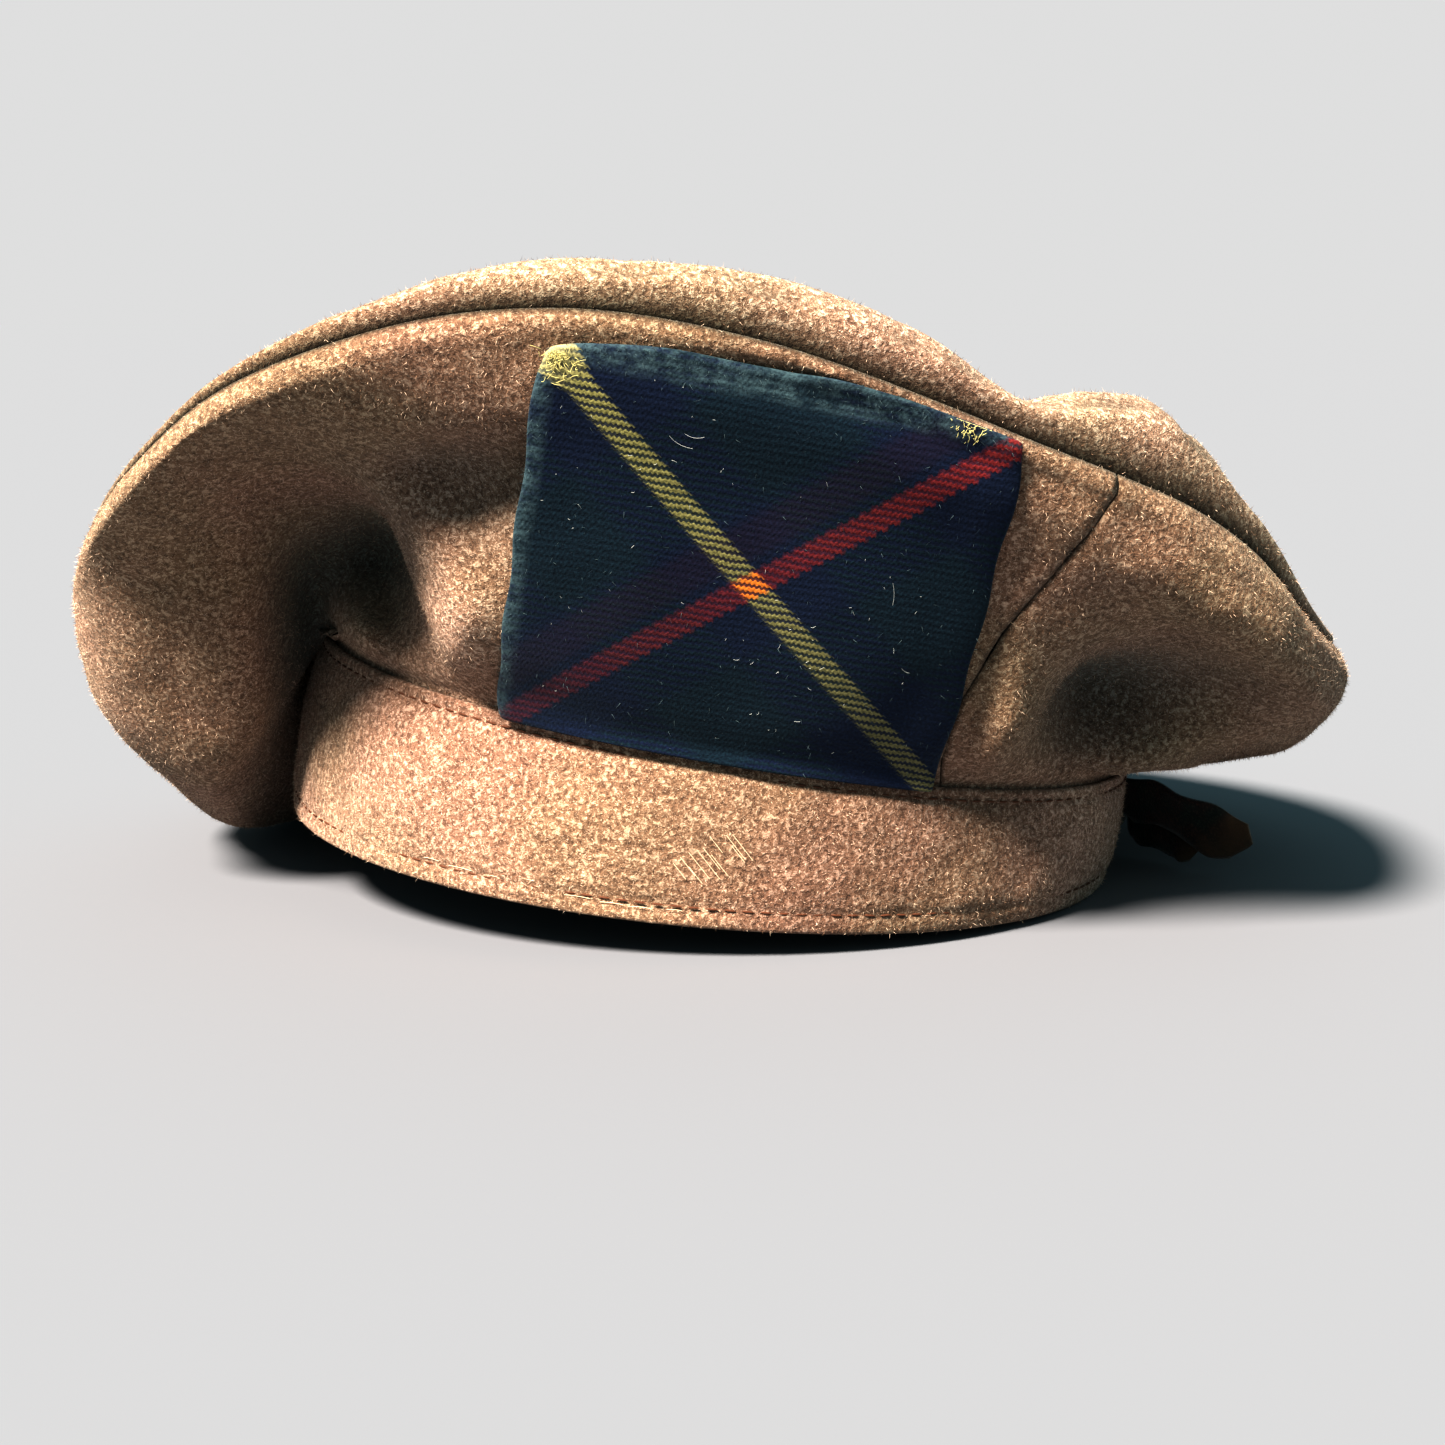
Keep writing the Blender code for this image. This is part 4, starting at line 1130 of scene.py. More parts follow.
def finished(made):
    """The object with its modifiers applied."""
    mesh = drawn_mesh(made)
    made.modifiers.clear()
    old = made.data
    made.data = mesh
    bpy.data.meshes.remove(old)
    return made


def with_cloth(made, thickness):
    """The open surface as cloth, with its thickness on the inside."""
    solidify = made.modifiers.new("Cloth", "SOLIDIFY")
    solidify.thickness = thickness * MM
    solidify.offset = -1.0
    return finished(made)


def grid_faces(rows, columns, closed):
    """The squares of a grid of points; closed ones run on from the last column to the first."""
    faces = []
    for row in range(rows - 1):
        for k in range(columns if closed else columns - 1):
            after = (k + 1) % columns
            faces.append((row * columns + k, row * columns + after,
                          (row + 1) * columns + after, (row + 1) * columns + k))
    return faces


def lumps(points, size, height, seed):
    """Soft unevenness of thick cloth: how far each point lies off its smooth surface."""
    off = Vector((seed * 17.3, seed * 5.1, seed * 9.7))
    flat = np.asarray(points, float).reshape(-1, 3)
    made = [noise.noise(Vector(p) / size + off) for p in flat]
    return height * np.array(made).reshape(np.asarray(points).shape[:-1])


def all_lumps(points, rows):
    """The sum of the lumps that a table's rows describe."""
    return sum(lumps(points, *row) for row in rows)


def grid_normals(points, closed):
    """Outward normals of a grid of points (rows, columns, 3), from its own neighbours."""
    down = np.gradient(points, axis=0)
    if closed:
        along = (np.roll(points, -1, 1) - np.roll(points, 1, 1)) / 2
    else:
        along = np.gradient(points, axis=1)
    normal = np.cross(along, down)
    return normal / np.maximum(np.linalg.norm(normal, axis=-1, keepdims=True), 1e-9)


def on_floor(points):
    """The points with none under the floor: the cloth lies flat on it."""
    points[..., 2] = np.maximum(points[..., 2], BASE_MIDDLE[2] + FLOOR_CLEARANCE)
    return points


def lie(points, closed, fade):
    """The points with the cloth's unevenness, fading to none where fade is 0."""
    off = all_lumps(points, CLOTH_LUMP_ROWS) * fade
    return on_floor(points + grid_normals(points, closed) * off[..., None])


def side_turns(start, end, places):
    """Turns of a side panel's points, a row to each place, between two angles."""
    turns = np.linspace(0, 2 * np.pi, 1441)
    known = np.unwrap(np.radians(crown_angle(turns)))
    known = np.concatenate([known - 2 * np.pi, known[1:], known[1:] + 2 * np.pi])
    full = np.concatenate([turns - 2 * np.pi, turns[1:], turns[1:] + 2 * np.pi])
    half_gap = np.degrees(GAP / BAND_HALF_WIDTH) / 2
    angles = np.linspace(start + half_gap, end - half_gap, SIDE_COLUMNS)
    pull = hump(off_angle(angles - PANEL_SEAM_NEAR), STRAY_HALF_ANGLE)
    goal = angles[None, :] + seam_stray(places)[:, None] * pull[None, :]
    return np.interp(np.radians(goal), known, full)


def side_panel(name, start, end, material):
    """One side panel: tucked into the band, up the side and turned in at the rim."""
    places = np.linspace(0, 1, SIDE_ROWS)
    places = places + SIDE_ROW_CROWDING * np.sin(2 * np.pi * places) / (2 * np.pi) * 2
    places = np.sort(np.append(places, SIDE_LAST_PLACES))
    turn = side_turns(start, end, places)
    fade = ramped(places, LUMPS_FADE_LOW) * ramped(1 - places, LUMPS_FADE_HIGH)
    points = lie(side_point(turn, places[:, None]), False, fade[:, None])
    tuck = band_point(turn[0], -TUCK_DEPTH, BAND_LAYER + GAP, from_top=True)
    seam, inward, across = seam_frame(turn[-1])
    turned = seam - GAP / 2 * across + TURN_IN * inward
    rows = np.concatenate([tuck[None], points, turned[None]])
    from_rim = 1 - places[:, None]

    # Painted shade along the rim seam and the panel seams.
    rim = np.concatenate([[0], hump(1 - places, RIM_SHADE_PLACE), [1]])
    step = np.arange(SIDE_COLUMNS)
    from_seam = np.minimum(step, SIDE_COLUMNS - 1 - step)
    seam_dark = PANEL_SEAM_SHADE * np.exp(-from_seam / PANEL_SEAM_SHADE_COLUMNS)
    shade = np.maximum(rim[:, None], seam_dark[None, :])
    # Painted shade in the hollows.
    hollow = side_hollow(side_plain(turn, places[:, None]), places[:, None])
    hollow_shade_share = np.zeros(shade.shape)
    hollow_shade_share[1:-1] = HOLLOW_SHARE * ramped(hollow, HOLLOW_DEPTH)
    # Spots of painted light, which also take away some of the hollows' painted shade.
    lit_share = np.zeros(shade.shape)
    for *where, lighter, less_shade in LIT_SPOT_ROWS:
        spot = near_spot(rows, *where)
        hollow_shade_share *= 1 - less_shade * spot
        lit_share = np.maximum(lit_share, lighter * spot)
    # Patchy painted shade on the strip of side over the patch.
    strip_shade = hump(off_angle(crown_angle(turn) - STRIP_SHADE_ANGLE), STRIP_SHADE_HALF_ANGLE)
    strip_shade = strip_shade * hump(from_rim, STRIP_SHADE_HALF_PLACE)
    patchy = np.clip(STRIP_SHADE_MIDDLE + lumps(points, *STRIP_SHADE_PATCHES), 0, 1)
    shade[1:-1] = np.maximum(shade[1:-1], STRIP_SHADE_SHARE * strip_shade * patchy)

    nap = np.concatenate([[0], ramped(places - NAP_FROM, NAP_OVER), [0]])
    nap = nap[:, None] * np.clip(rows[..., 2] - NAP_LOWEST, 0, 1)
    nap = nap * (1 - shade) * (1 - HOLLOW_NAP_LOSS * hollow_shade_share)
    values = {NAP_WEIGHT: nap, PAINTED_SHADE: shade, HOLLOW_SHADE: hollow_shade_share, PAINTED_LIGHT: lit_share}
    faces = grid_faces(len(rows), SIDE_COLUMNS, False)
    return surface(name, rows.reshape(-1, 3), faces, material, values)


def crown_top(name, material):
    """The top, ring by ring from the rim seam; the rings get fewer points towards the middle."""
    insets = np.concatenate([[0.0]] + [np.linspace(*row)[1:] for row in TOP_RING_ROWS]
                            + [TOP_LAST_RINGS])
    faces = []
    start = 0
    count = TOP_COLUMNS
    seam, inward, across = seam_frame(all_round(count))
    points = [seam + GAP / 2 * across + TURN_IN * inward]
    creases = []
    for inset in insets:
        fewer = max([1] + [value for depth, value in TOP_HALVINGS if inset > depth])
        last_start, last_count = start, count
        start += last_count
        count = TOP_COLUMNS // fewer
        turn = all_round(count)
        angle = crown_angle(turn)
        share = ramped(inset - TOP_ROUND_FROM, TOP_ROUND_OVER)
        deep = inset * (1 - share + share * round_value(angle, "seam_r") / TOP_RADIUS)
        ring = top_point(turn, deep)
        ring[..., 2] += all_lumps(ring, CLOTH_LUMP_ROWS) * ramped(inset, TOP_LUMPS_FADE)
        points.append(ring)
        creases.append(rim_crease(angle, inset))
        if last_count == count:
            for k in range(count):
                after = (k + 1) % count
                faces.append((last_start + k, last_start + after, start + after, start + k))
        else:
            for k in range(count):
                after = (k + 1) % count
                two = last_start + 2 * k
                faces.append((two, two + 1, start + k))
                faces.append((two + 1, start + after, start + k))
                faces.append((two + 1, last_start + (2 * k + 2) % last_count, start + after))
    middle = top_point(0.0, round_value(0.0, "seam_r"))
    faces += [(start + k, start + (k + 1) % count, start + count) for k in range(count)]
    points = np.concatenate(points + [middle[None]])
    nap = np.ones(len(points))
    nap[: 2 * TOP_COLUMNS] = 0
    # Painted shade on the seam's rings, the next ring and in the creases.
    shade = 1 - nap
    shade[2 * TOP_COLUMNS: 3 * TOP_COLUMNS] = TOP_EDGE_SHADE
    creased = np.concatenate([np.zeros(TOP_COLUMNS)] + creases + [[0.0]])
    shade = np.maximum(shade, np.clip(-CREASE_SHADE * creased, 0, CREASE_SHADE_MOST))
    # Painted light on the top, none at x = -95 near its front and full from x = -25 to the back.
    lit_share = eased((points[:, 0] - TOP_LIT_FROM) / TOP_LIT_OVER)
    values = {NAP_WEIGHT: nap, PAINTED_SHADE: shade, PAINTED_LIGHT: lit_share}
    return surface(name, points, faces, material, values)


def stitch_groove(off):
    """How far a row of stitches pulls the cloth in, at a distance from the row."""
    return BAND_STITCH_SINK * hump(off, BAND_STITCH_HALF_WIDTH)


def band_outer(turn, rise):
    """The band's outer face with its two sunk rows of stitches; rise is from the lower edge."""
    _, length = band_length(turn)
    sink = stitch_groove(rise - BAND_STITCH_FROM_EDGE)
    sink = sink + stitch_groove(length - rise - BAND_STITCH_FROM_TOP)
    return band_point(turn, rise, sink)


def head_band(name, material):
    """The folded strip, swept round the head opening, with a slot along its top for the
    crown; its rows run up the outer face, over the slot and down the inner face."""
    turn = all_round(BAND_COLUMNS)
    _, length = band_length(turn)
    deep = BAND_LAYER + SLOT_WIDTH
    inner = deep + BAND_LAYER
    bends = np.radians(BAND_FOLD_BENDS)
    fold_rises = BAND_FOLD_RADIUS * (1 - np.sin(bends))
    fold_ins = BAND_FOLD_RADIUS * (1 - np.cos(bends))
    rows = [band_point(turn, *place) for place in zip(fold_rises[::-1], fold_ins[::-1])]
    shares = np.linspace(0, 1, BAND_FACE_ROWS)
    reach = length - BAND_FOLD_RADIUS - BAND_FACE_SHORT
    face = np.array([band_outer(turn, BAND_FOLD_RADIUS + reach * share) for share in shares])
    from_edge = np.minimum(shares, 1 - shares)
    rows += list(lie(face, True, ramped(from_edge, BAND_EDGE_SHARE)[:, None]))
    low, round_ = -BAND_INNER_DROP, BAND_TOP_ROUND
    for rise, inward in (
        (-0.15, 0.25), (0.0, 0.6), (0.0, BAND_LAYER - round_), (-round_, BAND_LAYER),
        (-SLOT_DEPTH, BAND_LAYER), (-SLOT_DEPTH, deep), (low - round_, deep),
        (low, deep + round_), (low, inner - round_), (low - round_, inner),
        (-SLOT_DEPTH - 1.0, inner), (-SLOT_DEPTH - BAND_STEP, BAND_FOLDED),
    ):
        rows.append(band_point(turn, rise, inward, from_top=True))
    reach = length - SLOT_DEPTH - BAND_STEP - BAND_FOLD_RADIUS
    for share in np.linspace(1, 0, BAND_INSIDE_ROWS)[1:]:
        rows.append(band_point(turn, BAND_FOLD_RADIUS + reach * share, BAND_FOLDED))
    for rise, inward in zip(fold_rises, fold_ins):
        rows.append(band_point(turn, rise, BAND_FOLDED - inward))
    rows = np.array(rows)

    uv = np.zeros(rows.shape[:2] + (2,))
    uv[..., 0] = turn * (BAND_HALF_LENGTH + BAND_HALF_WIDTH) / 2 / 100
    climb = np.concatenate([[0], np.cumsum(np.linalg.norm(np.diff(rows[:, 0], axis=0), axis=-1))])
    uv[..., 1] = (climb / 100)[:, None]
    # The nap grows on the outer face, from the last row of the fold under it.
    nap = np.zeros(len(rows))
    nap[2: len(shares) + 3] = 1
    faces = grid_faces(len(rows), BAND_COLUMNS, True)
    last = (len(rows) - 1) * BAND_COLUMNS
    for k in range(BAND_COLUMNS):
        after = (k + 1) % BAND_COLUMNS
        faces.append((last + k, last + after, after, k))
    # Painted shade over the middle of the near side, and painted light towards its back end.
    near = eased(-rows[..., 1] / BAND_NEAR_DEPTH)
    band_shade = BAND_SHADE * near * hump(rows[..., 0] - BAND_SHADE_X, BAND_SHADE_HALF)
    lit_share = BAND_LIT * near * eased((rows[..., 0] - BAND_LIT_FROM) / BAND_LIT_OVER)
    values = {NAP_WEIGHT: np.repeat(nap, BAND_COLUMNS), PAINTED_SHADE: band_shade, PAINTED_LIGHT: lit_share}
    return surface(name, rows.reshape(-1, 3), faces, material, values, uv.reshape(-1, 2))


def camera_way():
    """The unit vectors towards the camera, to its right and up its picture."""
    away = direction(CAMERA_AZIMUTH, CAMERA_HEIGHT_ANGLE)
    a = np.radians(CAMERA_AZIMUTH)
    right = np.array((np.cos(a), np.sin(a), 0.0))
    return away, right, np.cross(away, right)


def patch_places(points, corners):
    """Places across and up the patch, 0 to 1, that run straight between its corners as the
    camera sees it; the corners are the upper left, upper right, lower right and lower left."""
    _, right, up = camera_way()

    def terms(p):
        return np.stack([np.ones(len(p)), p @ right, p @ up, (p @ right) * (p @ up)], 1)

    places = ((0, 1), (1, 1), (1, 0), (0, 0))
    return terms(points) @ np.linalg.solve(terms(np.array(corners)), np.array(places, float))


def patch(name, material):
    """The patch, a closed cushion of cloth with its edges folded under all round."""
    steps = np.linspace(0, 1, PATCH_SQUARES + 1)
    across, down = np.meshgrid(steps, steps[::-1])
    corner = np.hypot(np.minimum(across, 1 - across), np.minimum(down, 1 - down)) * PATCH_SIDE
    pull = PATCH_CORNER_ROUND * hump(corner, PATCH_CORNER_SIZE) / PATCH_SIDE
    wave = PATCH_EDGE_WAVE / PATCH_SIDE
    by_down = pull + wave * np.sin(PATCH_EDGE_WAVES_DOWN * down + 1)
    by_across = pull + wave * np.sin(PATCH_EDGE_WAVES_ACROSS * across)
    under, normal = patch_point(
        across + by_down * np.sign(0.5 - across), down + by_across * np.sign(0.5 - down)
    )
    under[..., 2] -= (PATCH_DROOP * eased(1 - steps / PATCH_DROOP_SHARE))[:, None]
    edge = np.minimum(np.minimum(steps, 1 - steps)[None, :], np.minimum(steps, 1 - steps)[:, None])
    from_edge = edge * PATCH_SIDE
    pinch = 0.5 + 0.5 * np.cos(2 * np.pi * (steps * PATCH_SIDE) / PATCH_DENT_PITCH)
    dent = PATCH_DENT_DEPTH * hump(from_edge - PATCH_DENT_FROM_EDGE, PATCH_DENT_HALF_WIDTH)
    dent = dent * np.maximum(pinch[None, :], pinch[:, None])
    ridge = PATCH_RIDGE_HEIGHT * hump(from_edge - PATCH_RIDGE_FROM_EDGE, PATCH_RIDGE_HALF_WIDTH)
    lift = ramped(from_edge, PATCH_FLAT_EDGE) * all_lumps(under, PATCH_LUMP_ROWS) - dent + ridge
    top = under + normal * (PATCH_THICKNESS + np.clip(lift, *PATCH_LIFT_RANGE))[..., None]
    count = len(steps)
    points = np.concatenate([top.reshape(-1, 3), under.reshape(-1, 3)])
    faces = grid_faces(count, count, False)
    back = count * count
    faces += [tuple(back + k for k in reversed(f)) for f in faces]
    ring = list(range(count))
    ring += [k * count + count - 1 for k in range(1, count)]
    ring += [count * (count - 1) + k for k in range(count - 2, -1, -1)]
    ring += [k * count for k in range(count - 2, 0, -1)]
    middle = points.reshape(2, -1, 3).mean(0)[back // 2]
    rim = []
    for k in ring:
        half = (points[k] + points[back + k]) / 2
        out = half - middle
        rim.append(half + PATCH_EDGE_BULGE * out / np.linalg.norm(out))
    first = len(points)
    points = np.concatenate([points, np.array(rim)])
    for k, here in enumerate(ring):
        after = ring[(k + 1) % len(ring)]
        r, ra = first + k, first + (k + 1) % len(ring)
        faces.append((after, here, r, ra))
        faces.append((back + here, back + after, ra, r))
    corners = (top[-1, 0], top[-1, -1], top[0, -1], top[0, 0])
    uv = patch_places(points, corners) * PATCH_SIDE / 100
    upper = hump((1 - steps) * PATCH_SIDE, PATCH_NAP_UPPER)
    left = PATCH_NAP_LEFT_SHARE * hump(steps * PATCH_SIDE, PATCH_NAP_LEFT)
    face = np.maximum(upper[:, None], left[None, :]) + PATCH_NAP_LEAST
    fold = PATCH_NAP_FOLD_SHARE * np.ones(len(ring))
    nap = np.concatenate([face.ravel(), 0 * face.ravel(), fold])
    made = surface(name, points, faces, material, {NAP_WEIGHT: nap}, uv)
    smooth = made.modifiers.new("Round", "SUBSURF")
    smooth.levels = smooth.render_levels = 1
    return finished(made)


def tape_tail(name, rows, material):
    """A strip of tape along a few stations; turn is the angle of its width from level."""
    table = np.array(rows, float)
    places = np.linspace(0, 1, TAIL_STATIONS)
    values = np.stack([
        np.interp(places * (len(table) - 1), np.arange(len(table)), c) for c in table.T
    ], -1)
    for _ in range(TAIL_SMOOTHINGS):
        values[1:-1] = (values[:-2] + 2 * values[1:-1] + values[2:]) / 4
    centre, half, turned = values[:, :3], values[:, 3:4], np.radians(values[:, 4:5])
    along = np.gradient(centre, axis=0)
    along /= np.linalg.norm(along, axis=1, keepdims=True)
    level = np.cross(along, (0.0, 0.0, 1.0))
    level /= np.linalg.norm(level, axis=1, keepdims=True)
    width = half * (np.cross(level, along) * np.sin(turned) + level * np.cos(turned))
    across = np.linspace(-1, 1, TAIL_COLUMNS)
    face = np.cross(along, width / half)
    wave = 1 + TAIL_WAVE * np.sin(places[None, :] * 17.0 + 1.5 * across[:, None])
    ripple = TAIL_RIPPLE * np.sin(places[None, :] * 11.0 + across[:, None]) * across[:, None] ** 2
    end = TAIL_POINT * (1 - 1.6 * np.abs(across[:, None] - 0.2)) * eased(places[None, :] * 3 - 2)
    points = centre[None] + (across[:, None] * wave)[..., None] * width[None]
    points = points + face[None] * ripple[..., None] + along[None] * end[..., None]
    uv = np.stack(np.broadcast_arrays(places[None, :], across[:, None] / 2), -1)
    faces = grid_faces(len(across), len(places), False)
    made = surface(name, points.reshape(-1, 3), faces, material, {}, uv.reshape(-1, 2))
    return with_cloth(made, TAPE_THICKNESS)


def knot(name, material):
    """The small knot: a ball of tape with its turns standing out round it."""
    ball = bmesh.new()
    bmesh.ops.create_uvsphere(ball, u_segments=48, v_segments=32, radius=1.0)
    for vert in ball.verts:
        turn = np.arctan2(vert.co.y, vert.co.x)
        down = np.arccos(np.clip(vert.co.z, -1, 1))
        fold = 1 - KNOT_TURN_DEPTH * np.cos(2 * down + turn) ** 2
        fold -= KNOT_FOLD_DEPTH * abs(np.sin(3 * down + 1.5 * np.sin(turn)))
        vert.co = framed(np.array(KNOT_CENTRE) + np.array(KNOT_HALF) * fold * np.array(vert.co))
    mesh = bpy.data.meshes.new(name)
    ball.to_mesh(mesh)
    ball.free()
    mesh.shade_smooth()
    return new_object(name, mesh, material)


def on_band(x, rise, out=0.15):
    """A point just off the near side of the band's face, by its x and height from the edge."""
    turn = -np.arccos(x / BAND_HALF_LENGTH)
    return band_outer(turn, rise) - (band_point(turn, rise, out) - band_point(turn, rise, 0.0))


def on_patch(places, out):
    """Points off the patch's face; each place is across and up it, from 0 to 1."""
    across, up = np.moveaxis(np.array(places, float), -1, 0)
    under, normal = patch_point(across, 1 - up)
    return under + normal * (PATCH_THICKNESS + np.asarray(out, float))[..., None]


def short_hairs(starts, length, seed):
    """Short curved hairs on the patch, one from each start, as places across and up it."""
    chance = np.random.default_rng(seed)
    starts = starts[:, None, :]
    way = chance.normal(0, length / PATCH_SIDE, starts.shape)
    bend = chance.normal(0, 0.35 * length / PATCH_SIDE, starts.shape)
    return np.concatenate([starts, starts + way / 2 + bend, starts + way], 1)


# Geometry Nodes ----------------------------------------------------------------------------


class Nodes(Tree):
    """The same short calls for a Geometry Nodes tree, with its named inputs."""

    def __init__(self, name, inputs):
        tree = bpy.data.node_groups.new(name, "GeometryNodeTree")
        super().__init__(tree)
        tree.interface.new_socket("Geometry", in_out="INPUT", socket_type="NodeSocketGeometry")
        for label, kind, value in inputs:
            socket = tree.interface.new_socket(label, in_out="INPUT", socket_type=kind)
            if value is not None:
                socket.default_value = value
        tree.interface.new_socket("Geometry", in_out="OUTPUT", socket_type="NodeSocketGeometry")
        self.given = tree.nodes.new("NodeGroupInput").outputs
        self.out = tree.nodes.new("NodeGroupOutput")

    def named(self, label, kind="FLOAT"):
        node = self.add("GeometryNodeInputNamedAttribute", {"data_type": kind}, Name=label)
        return next(o for o in node.outputs if o.enabled)

    def random(self, kind, low, high, seed):
        node = self.tree.nodes.new("FunctionNodeRandomValue")
        node.data_type = kind
        sockets = [i for i in node.inputs if i.enabled]
        for socket, value in zip(sockets, (low, high)):
            if isinstance(value, bpy.types.NodeSocket):
                self.tree.links.new(value, socket)
            else:
                socket.default_value = value
        self.put(node, "Seed", seed)
        return next(o for o in node.outputs if o.enabled)

    def vector(self, operation, *values, **named):
        node = self.tree.nodes.new("ShaderNodeVectorMath")
        node.operation = operation
        for k, value in enumerate(values):
            self.put(node, str(k), value)
        for label, value in named.items():
            self.put(node, label, value)
        return node.outputs[0]

    def aligned(self, axis, vector, rotation=None, pivot="AUTO"):
        node = self.tree.nodes.new("FunctionNodeAlignRotationToVector")
        node.axis = axis
        node.pivot_axis = pivot
        self.put(node, "Vector", vector)
        if rotation is not None:
            self.put(node, "Rotation", rotation)
        return node.outputs[0]


def nap_tree():
    """Short tapered hairs scattered over a cloth's face, in three tones."""
    n = Nodes("wool_nap", (
        ("Hairs per square metre", "NodeSocketFloat", 8e5), ("Length", "NodeSocketFloat", 0.0012),
        ("Radius", "NodeSocketFloat", 0.00004), ("Upright", "NodeSocketFloat", 0.5),
        ("Seed", "NodeSocketInt", 1), ("Middling", "NodeSocketMaterial", None),
        ("Pale", "NodeSocketMaterial", None), ("Dark", "NodeSocketMaterial", None),
    ))
    scatter = n.add("GeometryNodeDistributePointsOnFaces", {"distribute_method": "RANDOM"})
    n.put(scatter, "Mesh", n.given["Geometry"])
    density = n.math("MULTIPLY", n.given["Hairs per square metre"], n.named(NAP_WEIGHT))
    n.put(scatter, "Density", density)
    n.put(scatter, "Seed", n.given["Seed"])
    hair = n.add("GeometryNodeMeshCone", {"fill_type": "NGON"})
    for label, value in (("Vertices", 3), ("Side Segments", 1), ("Fill Segments", 1),
                         ("Radius Top", 0.0), ("Radius Bottom", n.given["Radius"]),
                         ("Depth", n.given["Length"])):
        n.put(hair, label, value)
    stray = n.random("FLOAT_VECTOR", (-1.0, -1.0, -1.0), (1.0, 1.0, 1.0), 11)
    up = n.vector("SCALE", scatter.outputs["Normal"], Scale=n.given["Upright"])
    lean = n.aligned("Z", n.vector("ADD", up, stray))
    tall = n.random("FLOAT", 0.5, 1.5, 12)
    size = n.add("ShaderNodeCombineXYZ", X=1.0, Y=1.0, Z=tall).outputs[0]
    placed = n.add("GeometryNodeInstanceOnPoints", Points=scatter.outputs["Points"],
                   Instance=hair.outputs["Mesh"], Rotation=lean, Scale=size).outputs[0]
    tone = n.add("GeometryNodeStoreNamedAttribute", {"data_type": "FLOAT", "domain": "INSTANCE"},
                 Geometry=placed, Name=HAIR_TONE, Value=n.random("FLOAT", 0.0, 1.0, 13))
    shape = n.add("GeometryNodeRealizeInstances", Geometry=tone.outputs[0]).outputs[0]
    for label, low, high in (("Middling", -1.0, 2.0), ("Pale", HAIR_PALE_FROM, 2.0),
                             ("Dark", -1.0, HAIR_DARK_TO)):
        above = n.math("GREATER_THAN", n.named(HAIR_TONE), low)
        below = n.math("LESS_THAN", n.named(HAIR_TONE), high)
        shape = n.add("GeometryNodeSetMaterial", Geometry=shape, Material=n.given[label],
                      Selection=n.math("MULTIPLY", above, below)).outputs[0]
    n.tree.links.new(shape, n.out.inputs[0])
    return n.tree


def stitch_tree():
    """Stitches at an even pitch along a line of edges that holds its cloth's normals."""
    n = Nodes("stitch_line", (
        ("Pitch", "NodeSocketFloat", 0.0032), ("Length", "NodeSocketFloat", 0.0026),
        ("Width", "NodeSocketFloat", 0.0007), ("Slant", "NodeSocketFloat", 0.0),
        ("Seed", "NodeSocketInt", 1), ("Material", "NodeSocketMaterial", None),
    ))
    line = n.add("GeometryNodeMeshToCurve", Mesh=n.given["Geometry"]).outputs[0]
    even = n.add("GeometryNodeResampleCurve", {"mode": "LENGTH"}, Curve=line)
    n.put(even, "Length", n.given["Pitch"])
    ball = n.add("GeometryNodeMeshUVSphere", Segments=6, Rings=4, Radius=0.5)
    tangent = n.add("GeometryNodeInputTangent").outputs[0]
    off = n.random("FLOAT", -0.12, 0.12, n.given["Seed"])
    side = n.vector("CROSS_PRODUCT", n.named(FACE_NORMAL, "FLOAT_VECTOR"), tangent)
    tilt = n.math("ADD", off, n.given["Slant"])
    along = n.vector("ADD", tangent, n.vector("SCALE", side, Scale=tilt))
    turned = n.aligned("X", along)
    turned = n.aligned("Z", n.named(FACE_NORMAL, "FLOAT_VECTOR"), turned, "X")
    size = n.add("ShaderNodeCombineXYZ", X=n.given["Length"], Y=n.given["Width"],
                 Z=n.given["Width"]).outputs[0]
    placed = n.add("GeometryNodeInstanceOnPoints", Points=even.outputs[0],
                   Instance=ball.outputs["Mesh"], Rotation=turned, Scale=size).outputs[0]
    shape = n.add("GeometryNodeRealizeInstances", Geometry=placed).outputs[0]
    shape = n.add("GeometryNodeSetMaterial", Geometry=shape, Material=n.given["Material"])
    n.tree.links.new(shape.outputs[0], n.out.inputs[0])
    return n.tree


def grown(name, source, tree, **values):
    """A new piece that a Geometry Nodes tree grows on the source's mesh."""
    made = linked(name, source)
    modifier = made.modifiers.new("Grow", "NODES")
    modifier.node_group = tree
    by_name = {i.name: i.identifier for i in tree.interface.items_tree if i.in_out == "INPUT"}
    for label, value in values.items():
        modifier[by_name[label.replace("_", " ")]] = value
    mesh = drawn_mesh(made)
    made.modifiers.clear()
    made.data = mesh
    mesh.name = name
    return made


def stitch_path(name, points, normals):
    """A closed line of edges that holds the normals of the cloth under it."""
    count = len(points)
    edges = [(k, (k + 1) % count) for k in range(count)]
    mesh = bpy.data.meshes.new(name + "_path")
    mesh.from_pydata(framed(points), edges, [])
    stored = mesh.attributes.new(FACE_NORMAL, "FLOAT_VECTOR", "POINT")
    stored.data.foreach_set("vector", np.asarray(normals, float).ravel())
    return mesh


def threads(name, lines, radius, material):
    """Loose threads: thin round strands through short lists of points, in one piece."""
    curve = bpy.data.curves.new(name, "CURVE")
    curve.dimensions = "3D"
    curve.bevel_depth = radius * MM
    curve.bevel_resolution = 1
    curve.resolution_u = 3
    curve.use_fill_caps = True
    for line in lines:
        spline = curve.splines.new("NURBS")
        spline.points.add(len(line) - 1)
        spline.use_endpoint_u = True
        spline.order_u = 3
        for point, place in zip(spline.points, framed(line)):
            point.co = (*place, 1)
    made = linked(name, curve)
    mesh = drawn_mesh(made)
    bpy.data.objects.remove(made)
    mesh.materials.clear()
    return new_object(name, mesh, material)


# Pieces ------------------------------------------------------------------------------------

